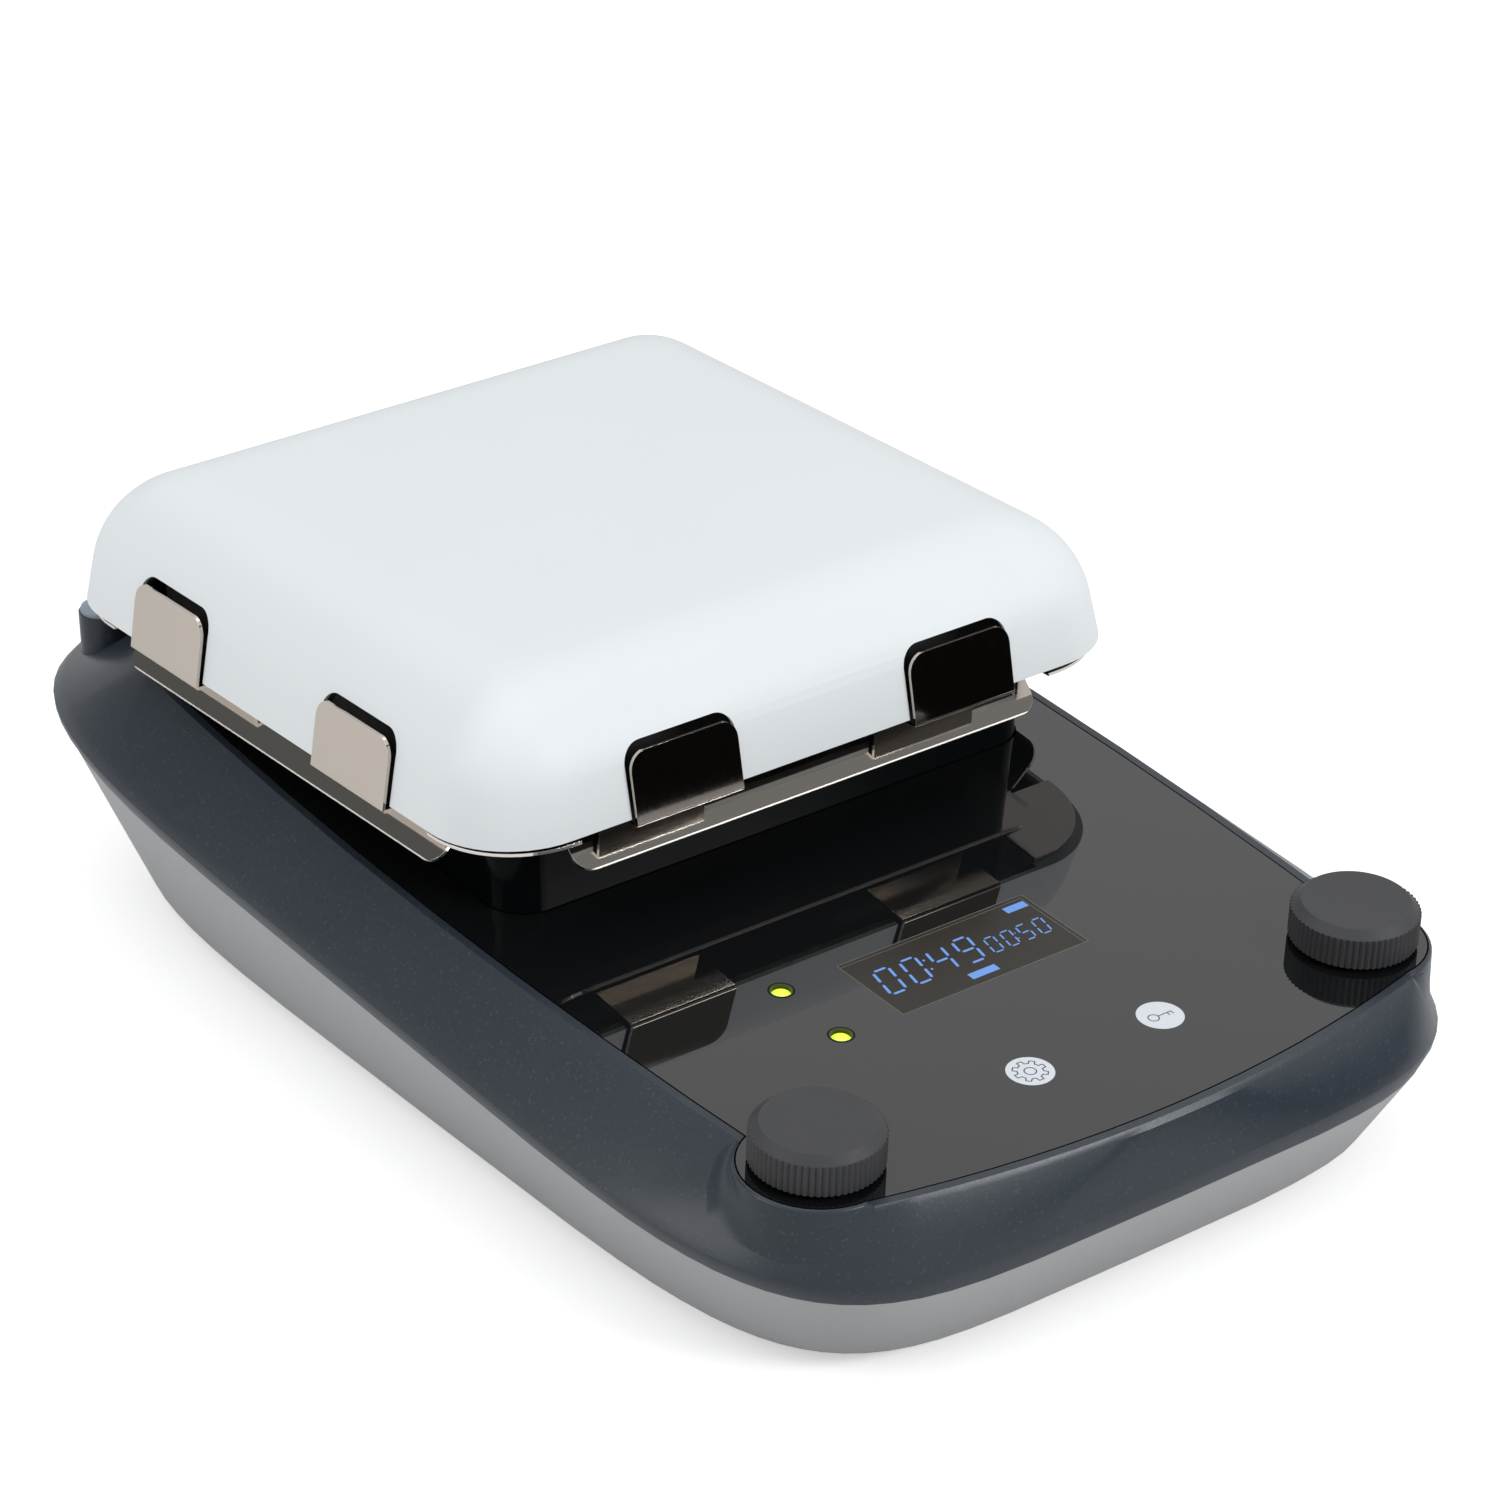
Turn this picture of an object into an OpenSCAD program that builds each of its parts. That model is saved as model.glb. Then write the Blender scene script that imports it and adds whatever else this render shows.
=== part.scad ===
// Laboratory hotplate with a square ceramic-coated plate, a glass control panel and two
// push-and-turn knobs. Millimetres, +Z up, front towards -Y.
// The origin is on the table, under the middle of the housing's outline.

/* [Housing] */
// Width over the lip of the upper housing
body_w = 212; // [204:1:222]
// Lip reach in front of the outline's own centre
front_reach = 153; // [148:1:160]
// Lip reach behind the outline's own centre
rear_reach = 188; // [184:1:196]
// Squareness of the housing's outline (2 is an ellipse, more is squarer)
outline_power = 5.2; // [4.6:0.1:6]
// Slope of the deck, rising to the rear
deck_tilt = 4.12; // [3.4:0.02:4.6]
// Height of the deck above the table at the row of knobs
deck_z = 50; // [48:0.5:54]
// Depth of the lip's widest line below the deck
lip_drop = 17; // [15:0.5:18]
// Depth of the joint between the two housings below the deck
split_drop = 22; // [21:0.5:24]
// How far the joint lies inside the lip at the sides
split_tuck = 2; // [1:0.2:3]
// How far the bottom edge lies inside the lip in front
base_tuck = 13; // [11:0.1:16]
// How far the bottom edge lies inside the lip at the front end of the sides
base_tuck_side = 11.6; // [10:0.1:16]
// How far the bottom edge lies inside the lip behind, where the housing is taller
base_tuck_rear = 16.7; // [14:0.1:19]
// How much narrower the bottom edge is behind than in front, on each side
base_taper = 7; // [0:0.5:9]
// Rounding of the bottom edge
base_round = 3; // [2:0.5:5]
// Wall of the two housings
wall = 2.5; // [2:0.1:3.2]
// Floor of the lower housing
floor_t = 3; // [2.4:0.2:4]

/* [Deck] */
// Half width of the control glass at its widest
glass_half = 87.6; // [86:0.2:88.6]
// Rim of the housing beside the glass
rim_w = 3; // [2.4:0.2:4]
// Thickness of the control glass
glass_t = 3; // [2:0.5:4]
// Thickness of the gasket under the glass
gasket_t = 0.5; // [0.3:0.1:0.8]
// Width of the gasket's band
gasket_w = 5; // [3:0.5:6]
// Gap round the glass
glass_gap = 0.4; // [0.2:0.1:0.6]
// Front edge of the glass, in front of the knob row
glass_front = 26.3; // [25:0.1:28]
// Rise of the glass's front edge towards its corners, per square millimetre
front_bow = 0.00158; // [0.001:0.0001:0.002]
// Narrowing of the glass towards its ends, per square millimetre
side_bow = 0.00035; // [0:0.00001:0.0004]
// Widest point of the glass, behind the knob row
side_bow_v = 130; // [120:1:140]
// Rear edge of the glass, behind the knob row
glass_rear = 270; // [268:0.5:272]
// Rear corner radius of the glass
glass_rear_r = 20; // [16:1:24]

/* [Knobs] */
// Distance of a knob inside the lip's side
knob_inset = 29.5; // [28:0.5:31]
// Distance of the knob row behind the front of the lip, along the deck
knob_setback = 31.7; // [31:0.1:34]
// Knob radius over the knurl
knob_r = 14.75; // [14:0.05:15.2]
// Knob height, without its gap to the glass
knob_h = 9; // [8:0.5:12]
// Gap between the knob and the glass
knob_gap = 1.3; // [1:0.1:1.6]
// Bevel of the knob's upper edge
knob_bevel = 1.8; // [1:0.1:2.4]
// Depth of one flute of the knurl
flute_d = 0.45; // [0.2:0.05:0.6]
// Number of flutes
flutes = 64; // [48:1:72]
// Radius of the housing's boss round a knob
boss_r = 18; // [17.8:0.1:19]
// Rounding of the boss's upper edge
boss_edge = 1; // [0.6:0.1:1.4]
// Radius of the glass round a knob
glass_knob_r = 16.8; // [16:0.1:17]
// Radius of the encoder's shaft
shaft_r = 3; // [2.5:0.1:3.2]
// Travel of a knob when it is pushed
push_travel = 0.6; // [0.4:0.1:0.8]

/* [Display and lights] */
// Display window, half width
lcd_half = 26.8; // [25:0.2:28]
// Display window, front edge behind the knob row
lcd_front = 32.9; // [31:0.1:34]
// Display window, length up the slope
lcd_len = 23.8; // [22:0.2:25]
// Lights, distance left of the middle
led_x = 42.8; // [41:0.2:44]
// Front light behind the knob row
led_front_v = 34.5; // [33.5:0.1:36]
// Rear light behind the knob row
led_rear_v = 55.8; // [52:0.1:56]
// Radius of a light's hole
led_hole_r = 2.5; // [2:0.1:3]
// Depth of a light's lens below the glass
led_recess = 1.2; // [0.6:0.1:1.8]
// Touch keys, half the distance between them
touch_x = 18.8; // [17:0.2:24]
// Touch keys behind the knob row
touch_v = 0.7; // [-2:0.1:4]
// Radius of a touch key
touch_r = 5.4; // [4.8:0.1:6]

/* [Plate] */
// Distance of the plate's centre behind the knob row
plate_setback = 187.2; // [184:0.2:190]
// Half width of the plate at its rim
plate_half = 93.4; // [91:0.5:94]
// Height of the plate from rim to top
plate_h = 31.8; // [31:0.1:36]
// Lean of the rim's wall
plate_lean = 11; // [8:0.5:16]
// Soft radius between the wall and the top
plate_edge_r = 26; // [22:0.5:28]
// Corner radius of the plate at its rim
plate_corner_r = 22; // [16:0.5:24]
// How fast the corners tighten as the plate draws in above the rim
corner_tighten = 0.8; // [0.4:0.1:1.2]
// Smallest corner radius on the top
top_corner_r = 8; // [4:0.5:12]
// Thickness of the plate's wall
plate_wall = 3; // [2.5:0.1:4]
// Thickness of the plate's top
plate_top_t = 7; // [5:0.5:8]
// Gap between the plate's rim and the tab carrier
rim_gap = 0.9; // [0.3:0.1:2]

/* [Shields] */
// Sheet thickness of the shields
sheet_t = 0.8; // [0.6:0.1:1]
// Plane of the tabs from the plate's centre, at their bend
tab_reach = 95; // [94.5:0.1:96.5]
// Width of a tab
tab_w = 29.5; // [26:0.5:32]
// Distance of a tab's middle from the middle of its side
tab_offset = 39.5; // [38:0.5:41]
// Height of a tab
tab_h = 17.3; // [15:0.1:18]
// Lean of a tab towards the plate
tab_lean = 10; // [8:0.5:11]
// Corner radius of a tab
tab_corner_r = 4.5; // [3:0.5:6]
// Room between a tab and the edge of its notch
notch_gap = 0.5; // [0.4:0.1:1.6]
// Height of a notch above the plate's rim
notch_h = 16.8; // [16:0.1:20]
// Bend line of the deflector's skirts from the centre
skirt_reach = 80.5; // [78:0.5:82]
// Length of a skirt down its slope
skirt_len = 13.5; // [11:0.5:15]
// Slope of the skirts
skirt_angle = 47; // [40:1:52]
// Height of the rear skirt's edge above the deck
skirt_gap = 2.2; // [1:0.1:5]
// Half width of a skirt at its bend
skirt_half = 66.5; // [63:0.5:67.5]
// Rounded ends of the skirts
skirt_end_r = 5; // [3:0.5:7]
// Half width of the deflector over its corners
deflector_half = 91.9; // [90:0.1:93]

/* [Pedestal] */
// Half width of the collar
collar_half = 76; // [75:0.5:77]
// Corner radius of the collar
collar_r = 10; // [8:0.5:14]
// Wall of the collar
collar_wall = 3; // [2.5:0.1:4]

/* [Heater] */
// Radius of the element's tube
element_r = 3.25; // [2.75:0.25:3.5]
// Distance between two legs of the element
element_pitch = 22; // [20:0.5:22.5]
// Number of legs
element_legs = 6; // [4:2:6]
// Half length of the straight legs
element_half = 48; // [40:1:50]
// Radius of the bend at each terminal
element_elbow_r = 8; // [6:0.5:8]
// Thickness of the element's clamp plate
clamp_t = 1.5; // [1:0.1:2]
// Half width of the clamp plate
clamp_half = 74; // [72:0.5:75]
// Half width of the insulation pad
pad_half = 76; // [73:0.5:78]
// Plate's screw bosses from its centre
plate_boss_x = 65; // [64:0.5:66]
// Radius of the plate's screw bosses
plate_boss_r = 6; // [5:0.2:6.4]
// Radius of the overheat thermostat
thermostat_r = 6.5; // [5.5:0.1:7]
// Radius of the temperature probe
probe_r = 1.75; // [1.25:0.25:2]
// Length of the temperature probe
probe_len = 38; // [30:1:42]

/* [Rear] */
// Depth of the connector pocket's back wall in front of the lip's rearmost point
pocket_setback = 22; // [20:0.5:24]
// Width of the connector pocket
pocket_w = 122; // [116:1:126]
// Lower edge of the connector pocket
pocket_z = 10; // [9:0.5:12]
// Height of the connector pocket
pocket_h = 34; // [33:0.5:36]
// Middle of the inlet from the middle of the pocket
inlet_x = 28; // [26:0.5:31]
// Middle of the switch from the middle of the pocket
switch_x = -34; // [-40:0.5:-30]
// Height of the connectors' middle above the table
connector_z = 27; // [26:0.5:28]
// Distance of a rear boss inside the lip's side
rod_inset = 29.5; // [29:0.5:32]
// Rear bosses behind the plate's centre
rod_setback = 100; // [99:0.5:102]
// Radius of a rear boss
rod_boss_r = 6.2; // [6.2:0.1:7]
// Radius of a rod socket's bore
rod_bore_r = 3.4; // [3:0.1:3.6]
// Depth of a rod socket's bore
rod_bore_h = 16; // [14:0.5:17]
// Radius of a socket's cap
cap_r = 5.7; // [5.2:0.1:6]
// Height of a socket's cap
cap_h = 2.4; // [1.8:0.1:3]

/* [Base] */
// Height of the feet
foot_h = 3.5; // [3:0.5:5]
// Radius of the feet
foot_r = 9; // [7:0.5:10]
// Distance of a foot inside the lip's side
foot_inset = 40; // [36:1:46]
// Feet from the middle, along
foot_y = 122; // [112:1:126]
// Distance of the power board inside the lip's side
board_inset = 44; // [42:1:46]
// Power board, length
power_len = 92; // [90:1:94]
// Thickness of the circuit boards
board_t = 1.6; // [1.2:0.1:2]
// Height of the power board's posts
post_h = 6; // [5:0.5:8]
// Radius of the housing's screw columns
column_r = 4.5; // [4:0.1:5]
// Radius of the housing's screws
screw_r = 1.5; // [1.3:0.1:1.8]

/* [Hidden] */
$fn = 64;

// Thickness of a slice that hull() joins to the next
slice = 0.02;
// Room for a part that turns or slides in a bore
running = 0.05;
// Room round a part that is dropped into its place
loose = 0.3;
// Extra length of a cut beyond the face it leaves
past = 1;
// Points of the base's outline
base_steps = 72;

lip_half = body_w / 2;
knob_x = lip_half - knob_inset;
rod_x = lip_half - rod_inset;
foot_x = lip_half - foot_inset;
power_w = body_w - 2 * board_inset;
// Middle of the outline on the deck, behind the knob row
outline_v = front_reach - knob_setback;
// Knob row on the table's Y axis, so that the lip lies evenly about the origin
knob_y = -(outline_v + (rear_reach - front_reach) / 2) * cos(deck_tilt) - lip_drop * sin(deck_tilt);
plate_y = knob_y + plate_setback;
recess_d = glass_t + gasket_t;
deck_under = recess_d + wall;
shell_z = foot_h;
floor_z = foot_h + floor_t;
lip_rear_y = (front_reach + rear_reach) / 2 * cos(deck_tilt);
pocket_y = lip_rear_y - pocket_setback;
pcb_drop = deck_under + 6.5;

// The rear skirt clears the deck, and the sheets and the plate stand on that
skirt_end = plate_setback + skirt_reach + skirt_len * cos(skirt_angle);
deflector_z = deck_z + skirt_end * tan(deck_tilt) + skirt_len * sin(skirt_angle) + skirt_gap;
carrier_z = deflector_z + 2 * sheet_t;
plate_rim_z = carrier_z + rim_gap;
plate_top_z = plate_rim_z + plate_h;
cavity_z = plate_top_z - plate_top_t;
element_z = cavity_z - element_r;
clamp_top_z = cavity_z - 2 * element_r;
pad_top_z = clamp_top_z - clamp_t;
power_z = floor_z + post_h;

rod_y = plate_y + rod_setback;
rod_top_z = deck_z + (rod_y - knob_y) * tan(deck_tilt);

// Heights on the table of a plane parallel to the deck
function plane_z(y, drop) = deck_z + (y - knob_y) * tan(deck_tilt) - drop / cos(deck_tilt);
function sgn(v) = v < 0 ? -1 : 1;
function squircle(t, a, front, rear) = [
    a * sgn(cos(t)) * pow(abs(cos(t)), 2 / outline_power),
    (sin(t) < 0 ? front : rear) * sgn(sin(t)) * pow(abs(sin(t)), 2 / outline_power)];

// Moves children from the deck's frame to the table's: the knob row is y = 0 and up is the
// deck's normal
module on_deck(h = 0)
    translate([0, knob_y, deck_z]) rotate([deck_tilt, 0, 0]) translate([0, 0, h]) children();

module both_sides() {
    children();
    mirror([1, 0, 0]) children();
}

module four_sides()
    for (q = [0:3])
        rotate(90 * q) children();

module on_plate(z = 0)
    translate([0, plate_y, z]) children();

// Outline of the housing, tucked in from the lip
module housing_outline(side, front, rear, steps = 72)
    polygon([for (i = [0:steps - 1])
        squircle(360 * i / steps, lip_half - side, front_reach - front, rear_reach - rear)]);

module housing_level(drop, side, front, rear)
    on_deck(-drop) translate([0, outline_v, 0]) linear_extrude(slice)
        housing_outline(side, front, rear);

// Outline of the base, which narrows towards the rear
module base_level(z, grow)
    translate([0, lip_rear_y - rear_reach, z]) linear_extrude(slice)
        polygon([for (i = [0:base_steps - 1])
            let (q = squircle(360 * i / base_steps, lip_half - base_tuck_side - grow,
                    front_reach - base_tuck - grow, rear_reach - base_tuck_rear - grow),
                back = (q[1] + front_reach) / (front_reach + rear_reach))
                [q[0] * (1 - back * base_taper / lip_half), q[1]]]);

module rounded_square(half, r) {
    square([2 * half, 2 * (half - r)], center = true);
    square([2 * (half - r), 2 * half], center = true);
    for (x = [-1, 1], y = [-1, 1])
        translate([x * (half - r), y * (half - r)]) circle(r);
}

// Half width of the glass at v, with the rim or a wall added
function side_at(v, grow) = glass_half + grow - side_bow * pow(v - side_bow_v, 2);
function front_at(x, grow) = -glass_front - grow + front_bow * x * x;

// Deck outline: bowed front, slightly barrelled sides and round rear corners
module deck_outline(grow, rear_grow, front_grow, steps = 8) {
    r = glass_rear_r;
    rear = glass_rear + rear_grow;
    corner_v = rear - r;
    half = side_at(corner_v, grow);
    right = concat(
        [for (i = [0:steps]) let (x = knob_x * i / steps) [x, front_at(x, front_grow)]],
        [for (i = [0:steps]) let (v = corner_v * i / steps) [side_at(v, grow), v]],
        [for (i = [1:steps]) let (a = 90 * i / steps) [half - r + r * cos(a), corner_v + r * sin(a)]]);
    n = len(right);
    polygon(concat(right, [for (i = [n - 1:-1:1]) [-right[i][0], right[i][1]]]));
}

// Plan of the glass, with the round lobes that it has under the knobs
module glass_plan(grow) {
    deck_outline(grow, grow, grow);
    for (s = [-1, 1])
        translate([s * knob_x, 0]) circle(glass_knob_r + grow);
}

module tube(r, bore, h)
    difference() {
        cylinder(r = r, h = h);
        translate([0, 0, -past]) cylinder(r = bore, h = h + 2 * past);
    }

// Straight lead between two points
module lead(p, q, r) {
    d = q - p;
    translate(p)
        rotate([0, acos(d[2] / norm(d)), atan2(d[1], d[0])])
            cylinder(r = r, h = norm(d), $fn = 24);
}

// Housing screw columns: x, and v on the deck
columns = [[36, -7], [81, 112], [80, 225]];
column_bore = screw_r + running;
head_r = 2 * screw_r;
head_h = 1.6 * screw_r;
function column_y(v) = knob_y + v * cos(deck_tilt);

module at_columns()
    for (c = columns)
        both_sides() translate([c[0], column_y(c[1]), 0]) children();

// Cut above or below the joint between the housings
module joint_half(up) {
    big = 2 * (front_reach + rear_reach);
    on_deck(-split_drop)
        translate([-big / 2, -big / 2, up ? 0 : -big]) cube([big, big, big]);
}

module upper_form() {
    hull() {
        housing_level(split_drop, split_tuck, split_tuck / 2, split_tuck / 2);
        housing_level(lip_drop + 1.6, 0.2, 0.1, 0.1);
        housing_level(lip_drop, 0, 0, 0);
        housing_level(lip_drop - 3.4, 1.8, 0.5, 2.6);
        on_deck(-1.2) linear_extrude(slice) deck_outline(rim_w + 0.4, rim_w + 1, rim_w + 0.4);
        on_deck(-slice) linear_extrude(slice) deck_outline(rim_w - 0.6, rim_w - 1, rim_w - 0.6);
    }
    both_sides() knob_boss();
    both_sides() rod_boss();
}

// Round boss under a knob: slightly drafted wall and a rounded upper edge
module knob_boss()
    on_deck(0) translate([knob_x, 0, 0]) rotate_extrude() {
        foot = boss_r + 0.7;
        polygon(concat([[0, -lip_drop], [foot, -lip_drop]],
            [for (a = [0:15:90]) [boss_r - boss_edge + boss_edge * cos(a), -boss_edge + boss_edge * sin(a)]],
            [[0, 0]]));
    }

// Boss of a rod socket, flaring into the housing's rear corner
module rod_boss() {
    flare = 6;
    wall_h = 11.5;
    translate([rod_x, rod_y, 0]) {
        translate([0, 0, rod_top_z - wall_h - flare]) cylinder(r = rod_boss_r, h = wall_h + flare);
        translate([0, 0, rod_top_z - wall_h - flare]) rotate_extrude()
            polygon(concat([[0, 0]],
                [for (a = [0:15:90]) [rod_boss_r + flare * (1 - sin(a)), flare * (1 - cos(a))]],
                [[0, flare]]));
    }
}

module upper_hollow()
    hull() {
        housing_level(split_drop + past, split_tuck + wall, split_tuck / 2 + wall, split_tuck / 2 + wall);
        housing_level(lip_drop, wall + 0.6, wall, wall + 0.6);
        on_deck(-deck_under - slice) linear_extrude(slice)
            deck_outline(2 * wall, wall + 4, rim_w - wall);
    }

module upper_housing()
    color([0.2, 0.22, 0.25]) difference() {
        union() {
            difference() {
                upper_form();
                upper_hollow();
            }
            intersection() {
                union() {
                    at_columns() cylinder(r = column_r, h = 2 * deck_z);
                    both_sides() translate([rod_x, rod_y, 0]) cylinder(r = rod_boss_r, h = rod_top_z - past);
                }
                joint_half(true);
                upper_form();
            }
            board_posts();
        }
        on_deck(-recess_d) linear_extrude(recess_d + past) glass_plan(glass_gap);
        // Openings in the deck for the display, the lights, the encoders and the wiring
        on_deck(-deck_under - past) translate([-lcd_half - loose, lcd_front - loose, 0])
            cube([2 * (lcd_half + loose), lcd_len + 2 * loose, wall + 2 * past]);
        on_deck(-deck_under - past) translate([-led_x, 0, 0])
            for (v = [led_front_v, led_rear_v])
                translate([0, v, 0]) cylinder(r = led_hole_r + loose, h = wall + 2 * past);
        on_deck(-deck_under - past) both_sides()
            translate([knob_x, 0, 0]) cylinder(r = bushing_r + loose, h = wall + 2 * past);
        on_plate(plane_z(plate_y, 0) - deck_z / 2)
            linear_extrude(deck_z) rounded_square(wire_half, collar_r);
        at_collar_screws(-deck_under - past) cylinder(r = column_bore, h = wall + 2 * past);
        column_pilots();
        on_deck(-pcb_drop - past) at_board_posts() cylinder(r = column_bore, h = post_bite + past);
        both_sides() translate([rod_x, rod_y, rod_top_z - socket_h - running])
            cylinder(r = socket_r + running / 2, h = socket_h + past);
    }

// Wiring hole in the deck, under the collar
wire_half = collar_half - collar_wall - 2 * column_r - 4;
collar_screw_x = collar_half - collar_wall - column_r + 1;
collar_screw_y = 38;
collar_screw_bite = 8;

// Screw places of the collar on the deck
module at_collar_screws(h)
    on_deck(h) for (y = [-1, 1])
        both_sides() translate([collar_screw_x, (plate_setback + y * collar_screw_y) / cos(deck_tilt), 0])
            children();

// Blind holes for the housing's screws, from the joint upwards
pilot_len = 10;
module column_pilots()
    intersection() {
        at_columns() cylinder(r = column_bore, h = 2 * deck_z);
        on_deck(-split_drop - past) translate([-body_w, -body_w, 0])
            cube([2 * body_w, 3 * body_w, pilot_len + past]);
    }

// Posts under the deck that carry the control board
board_post_x = 58;
board_post_v = [-8, 59];
post_bite = 4.5;
module at_board_posts()
    for (v = board_post_v)
        both_sides() translate([board_post_x, v, 0]) children();

module board_posts()
    on_deck(-pcb_drop) at_board_posts() cylinder(r = 3.2, h = pcb_drop - deck_under + past);

module lower_form()
    hull() {
        housing_level(split_drop + slice, split_tuck, split_tuck / 2, split_tuck / 2);
        base_level(shell_z + base_round, 0);
        base_level(shell_z, base_round);
    }

module lower_hollow()
    hull() {
        housing_level(split_drop - past, split_tuck + wall, split_tuck / 2 + wall, split_tuck / 2 + wall);
        base_level(floor_z + base_round, wall);
        base_level(floor_z, base_round + wall);
    }

module pocket_box(grow)
    translate([-pocket_w / 2 - grow, pocket_y - grow, pocket_z - grow])
        cube([pocket_w + 2 * grow, pocket_setback + past + grow, pocket_h + 2 * grow]);

module lower_housing()
    color([0.62, 0.63, 0.64]) difference() {
        union() {
            difference() {
                lower_form();
                difference() {
                    lower_hollow();
                    pocket_box(wall);
                }
            }
            intersection() {
                union() {
                    at_columns() translate([0, 0, shell_z]) cylinder(r = column_r + 1, h = 2 * deck_z);
                    both_sides() translate([rod_x, rod_y, shell_z]) cylinder(r = rod_boss_r, h = deck_z);
                }
                joint_half(false);
                lower_form();
            }
            at_power_posts() translate([0, 0, shell_z]) cylinder(r = 3.5, h = power_z - shell_z);
        }
        pocket_box(0);
        at_columns() {
            cylinder(r = column_bore + running, h = 2 * deck_z);
            cylinder(r = head_r + loose, h = shell_z + column_head_z);
        }
        at_power_posts() translate([0, 0, shell_z + floor_t / 2])
            cylinder(r = column_bore, h = power_z);
        at_feet() cylinder(r = foot_stem_r + running, h = floor_z + past);
        // Cut-outs of the inlet and the switch
        translate([inlet_x, 0, connector_z])
            box_y(inlet_body_w + loose, inlet_body_h + loose, pocket_y - wall - past, wall + 2 * past);
        for (s = [-1, 1])
            translate([inlet_x + s * inlet_screw_x, pocket_y + past, connector_z]) rotate([90, 0, 0])
                cylinder(r = column_bore, h = wall + 2 * past);
        translate([switch_x, 0, connector_z])
            box_y(switch_body_w + loose, switch_body_h + loose, pocket_y - wall - past, wall + 2 * past);
    }

// Box about the Y axis, from y along +Y
module box_y(w, h, y, len)
    translate([-w / 2, y, -h / 2]) cube([w, len, h]);

column_head_z = 4;
foot_stem_r = 3;

module at_feet()
    for (y = [-1, 1])
        both_sides() translate([foot_x, y * foot_y, 0]) children();

power_y = plate_y + 12;
module at_power_posts()
    for (y = [-1, 1])
        both_sides() translate([power_w / 2 - 6, power_y + y * (power_len / 2 - 16), 0]) children();

module control_glass()
    color([0.09, 0.09, 0.1]) difference() {
        on_deck(-glass_t) linear_extrude(glass_t) difference() {
            glass_plan(0);
            translate([-lcd_half, lcd_front]) square([2 * lcd_half, lcd_len]);
            for (v = [led_front_v, led_rear_v])
                translate([-led_x, v]) circle(led_hole_r);
            both_sides() translate([knob_x, 0]) circle(nut_hole_r);
        }
        on_plate(plane_z(plate_y, 0) - deck_z / 2)
            linear_extrude(deck_z) rounded_square(collar_half + glass_gap, collar_r + glass_gap);
    }

// Adhesive band under the glass: round its edge and round the collar
module glass_gasket()
    color([0.08, 0.08, 0.08]) difference() {
        on_deck(-recess_d) linear_extrude(gasket_t) difference() {
            glass_plan(-glass_gap);
            difference() {
                offset(delta = -gasket_w) glass_plan(-glass_gap);
                translate([0, plate_setback / cos(deck_tilt)])
                    square(2 * (collar_half + gasket_w), center = true);
            }
            both_sides() translate([knob_x, 0]) circle(nut_hole_r);
        }
        on_plate(plane_z(plate_y, 0) - deck_z / 2)
            linear_extrude(deck_z) rounded_square(collar_half + glass_gap, collar_r + glass_gap);
    }

lcd_fit = 0.15;
module display_module()
    color([0.3, 0.28, 0.26]) on_deck(-pcb_drop) {
        translate([-lcd_half + lcd_fit, lcd_front + lcd_fit, 0])
            cube([2 * (lcd_half - lcd_fit), lcd_len - 2 * lcd_fit, pcb_drop]);
        translate([-lcd_half - 4, lcd_front - 3.5, 0])
            cube([2 * (lcd_half + 4), lcd_len + 7, pcb_drop - deck_under]);
    }

module status_lights()
    color([0.8, 0.95, 0.3]) on_deck(-pcb_drop)
        for (v = [led_front_v, led_rear_v])
            translate([-led_x, v, 0]) rotate_extrude() {
                r = led_hole_r - lcd_fit;
                top = pcb_drop - led_recess;
                polygon(concat([[0, 0], [r, 0]],
                    [for (a = [0:15:90]) [r * cos(a), top - 0.8 + 0.8 * sin(a)]]));
            }

module touch_pads()
    color([0.15, 0.15, 0.16]) on_deck(-pcb_drop) both_sides()
        translate([touch_x, touch_v, 0]) cylinder(r = touch_r, h = pcb_drop - deck_under);

board_rear_v = 64;
board_ear_v = 10;
module control_board()
    color([0.1, 0.35, 0.2]) on_deck(-pcb_drop - board_t) {
        linear_extrude(board_t) difference() {
            union() {
                translate([-board_post_x - 6, -13]) square([2 * board_post_x + 12, board_rear_v + 13]);
                translate([-knob_x - 8, -board_ear_v]) square([2 * knob_x + 16, 2 * board_ear_v]);
            }
            at_board_posts() circle(column_bore + running);
            both_sides() translate(columns[0]) circle(column_r + 2);
        }
        translate([ribbon_x - ribbon_w / 2 - 2, board_rear_v - 9, -connector_h])
            cube([ribbon_w + 4, 8, connector_h]);
    }

bushing_r = 3.5;
nut_hole_r = 7;
nut_h = 2;
encoder_half = 6.5;
module at_knobs()
    both_sides() translate([knob_x, 0, 0]) children();

// Encoder: square body on the board, threaded bushing through the deck, cavity for the plunger
plunger_r = 4;
plunger_h = 1.2;
plunger_drop = pcb_drop - 1.2 - push_travel;
shaft_foot = plunger_drop - plunger_h;
module knob_encoders()
    color([0.6, 0.6, 0.62]) on_deck(-pcb_drop) at_knobs() difference() {
        union() {
            translate([-encoder_half, -encoder_half, 0])
                cube([2 * encoder_half, 2 * encoder_half, pcb_drop - deck_under]);
            cylinder(r = bushing_r, h = pcb_drop - recess_d + nut_h + 0.6);
        }
        translate([0, 0, 0.6]) cylinder(r = plunger_r + running, h = 4);
        translate([0, 0, 0.6]) cylinder(r = shaft_r + running, h = 2 * pcb_drop);
    }

module encoder_nuts()
    color([0.75, 0.75, 0.77]) on_deck(-recess_d) at_knobs() difference() {
        cylinder(r = 5.8, h = nut_h, $fn = 6);
        translate([0, 0, -past]) cylinder(r = bushing_r + running / 5, h = nut_h + 2 * past);
    }

module plunger()
    on_deck(-plunger_drop) translate([knob_x, 0, 0]) cylinder(r = plunger_r, h = plunger_h);

module right_plunger() color([0.85, 0.85, 0.8]) plunger();
module left_plunger() color([0.85, 0.85, 0.8]) mirror([1, 0, 0]) plunger();

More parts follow.
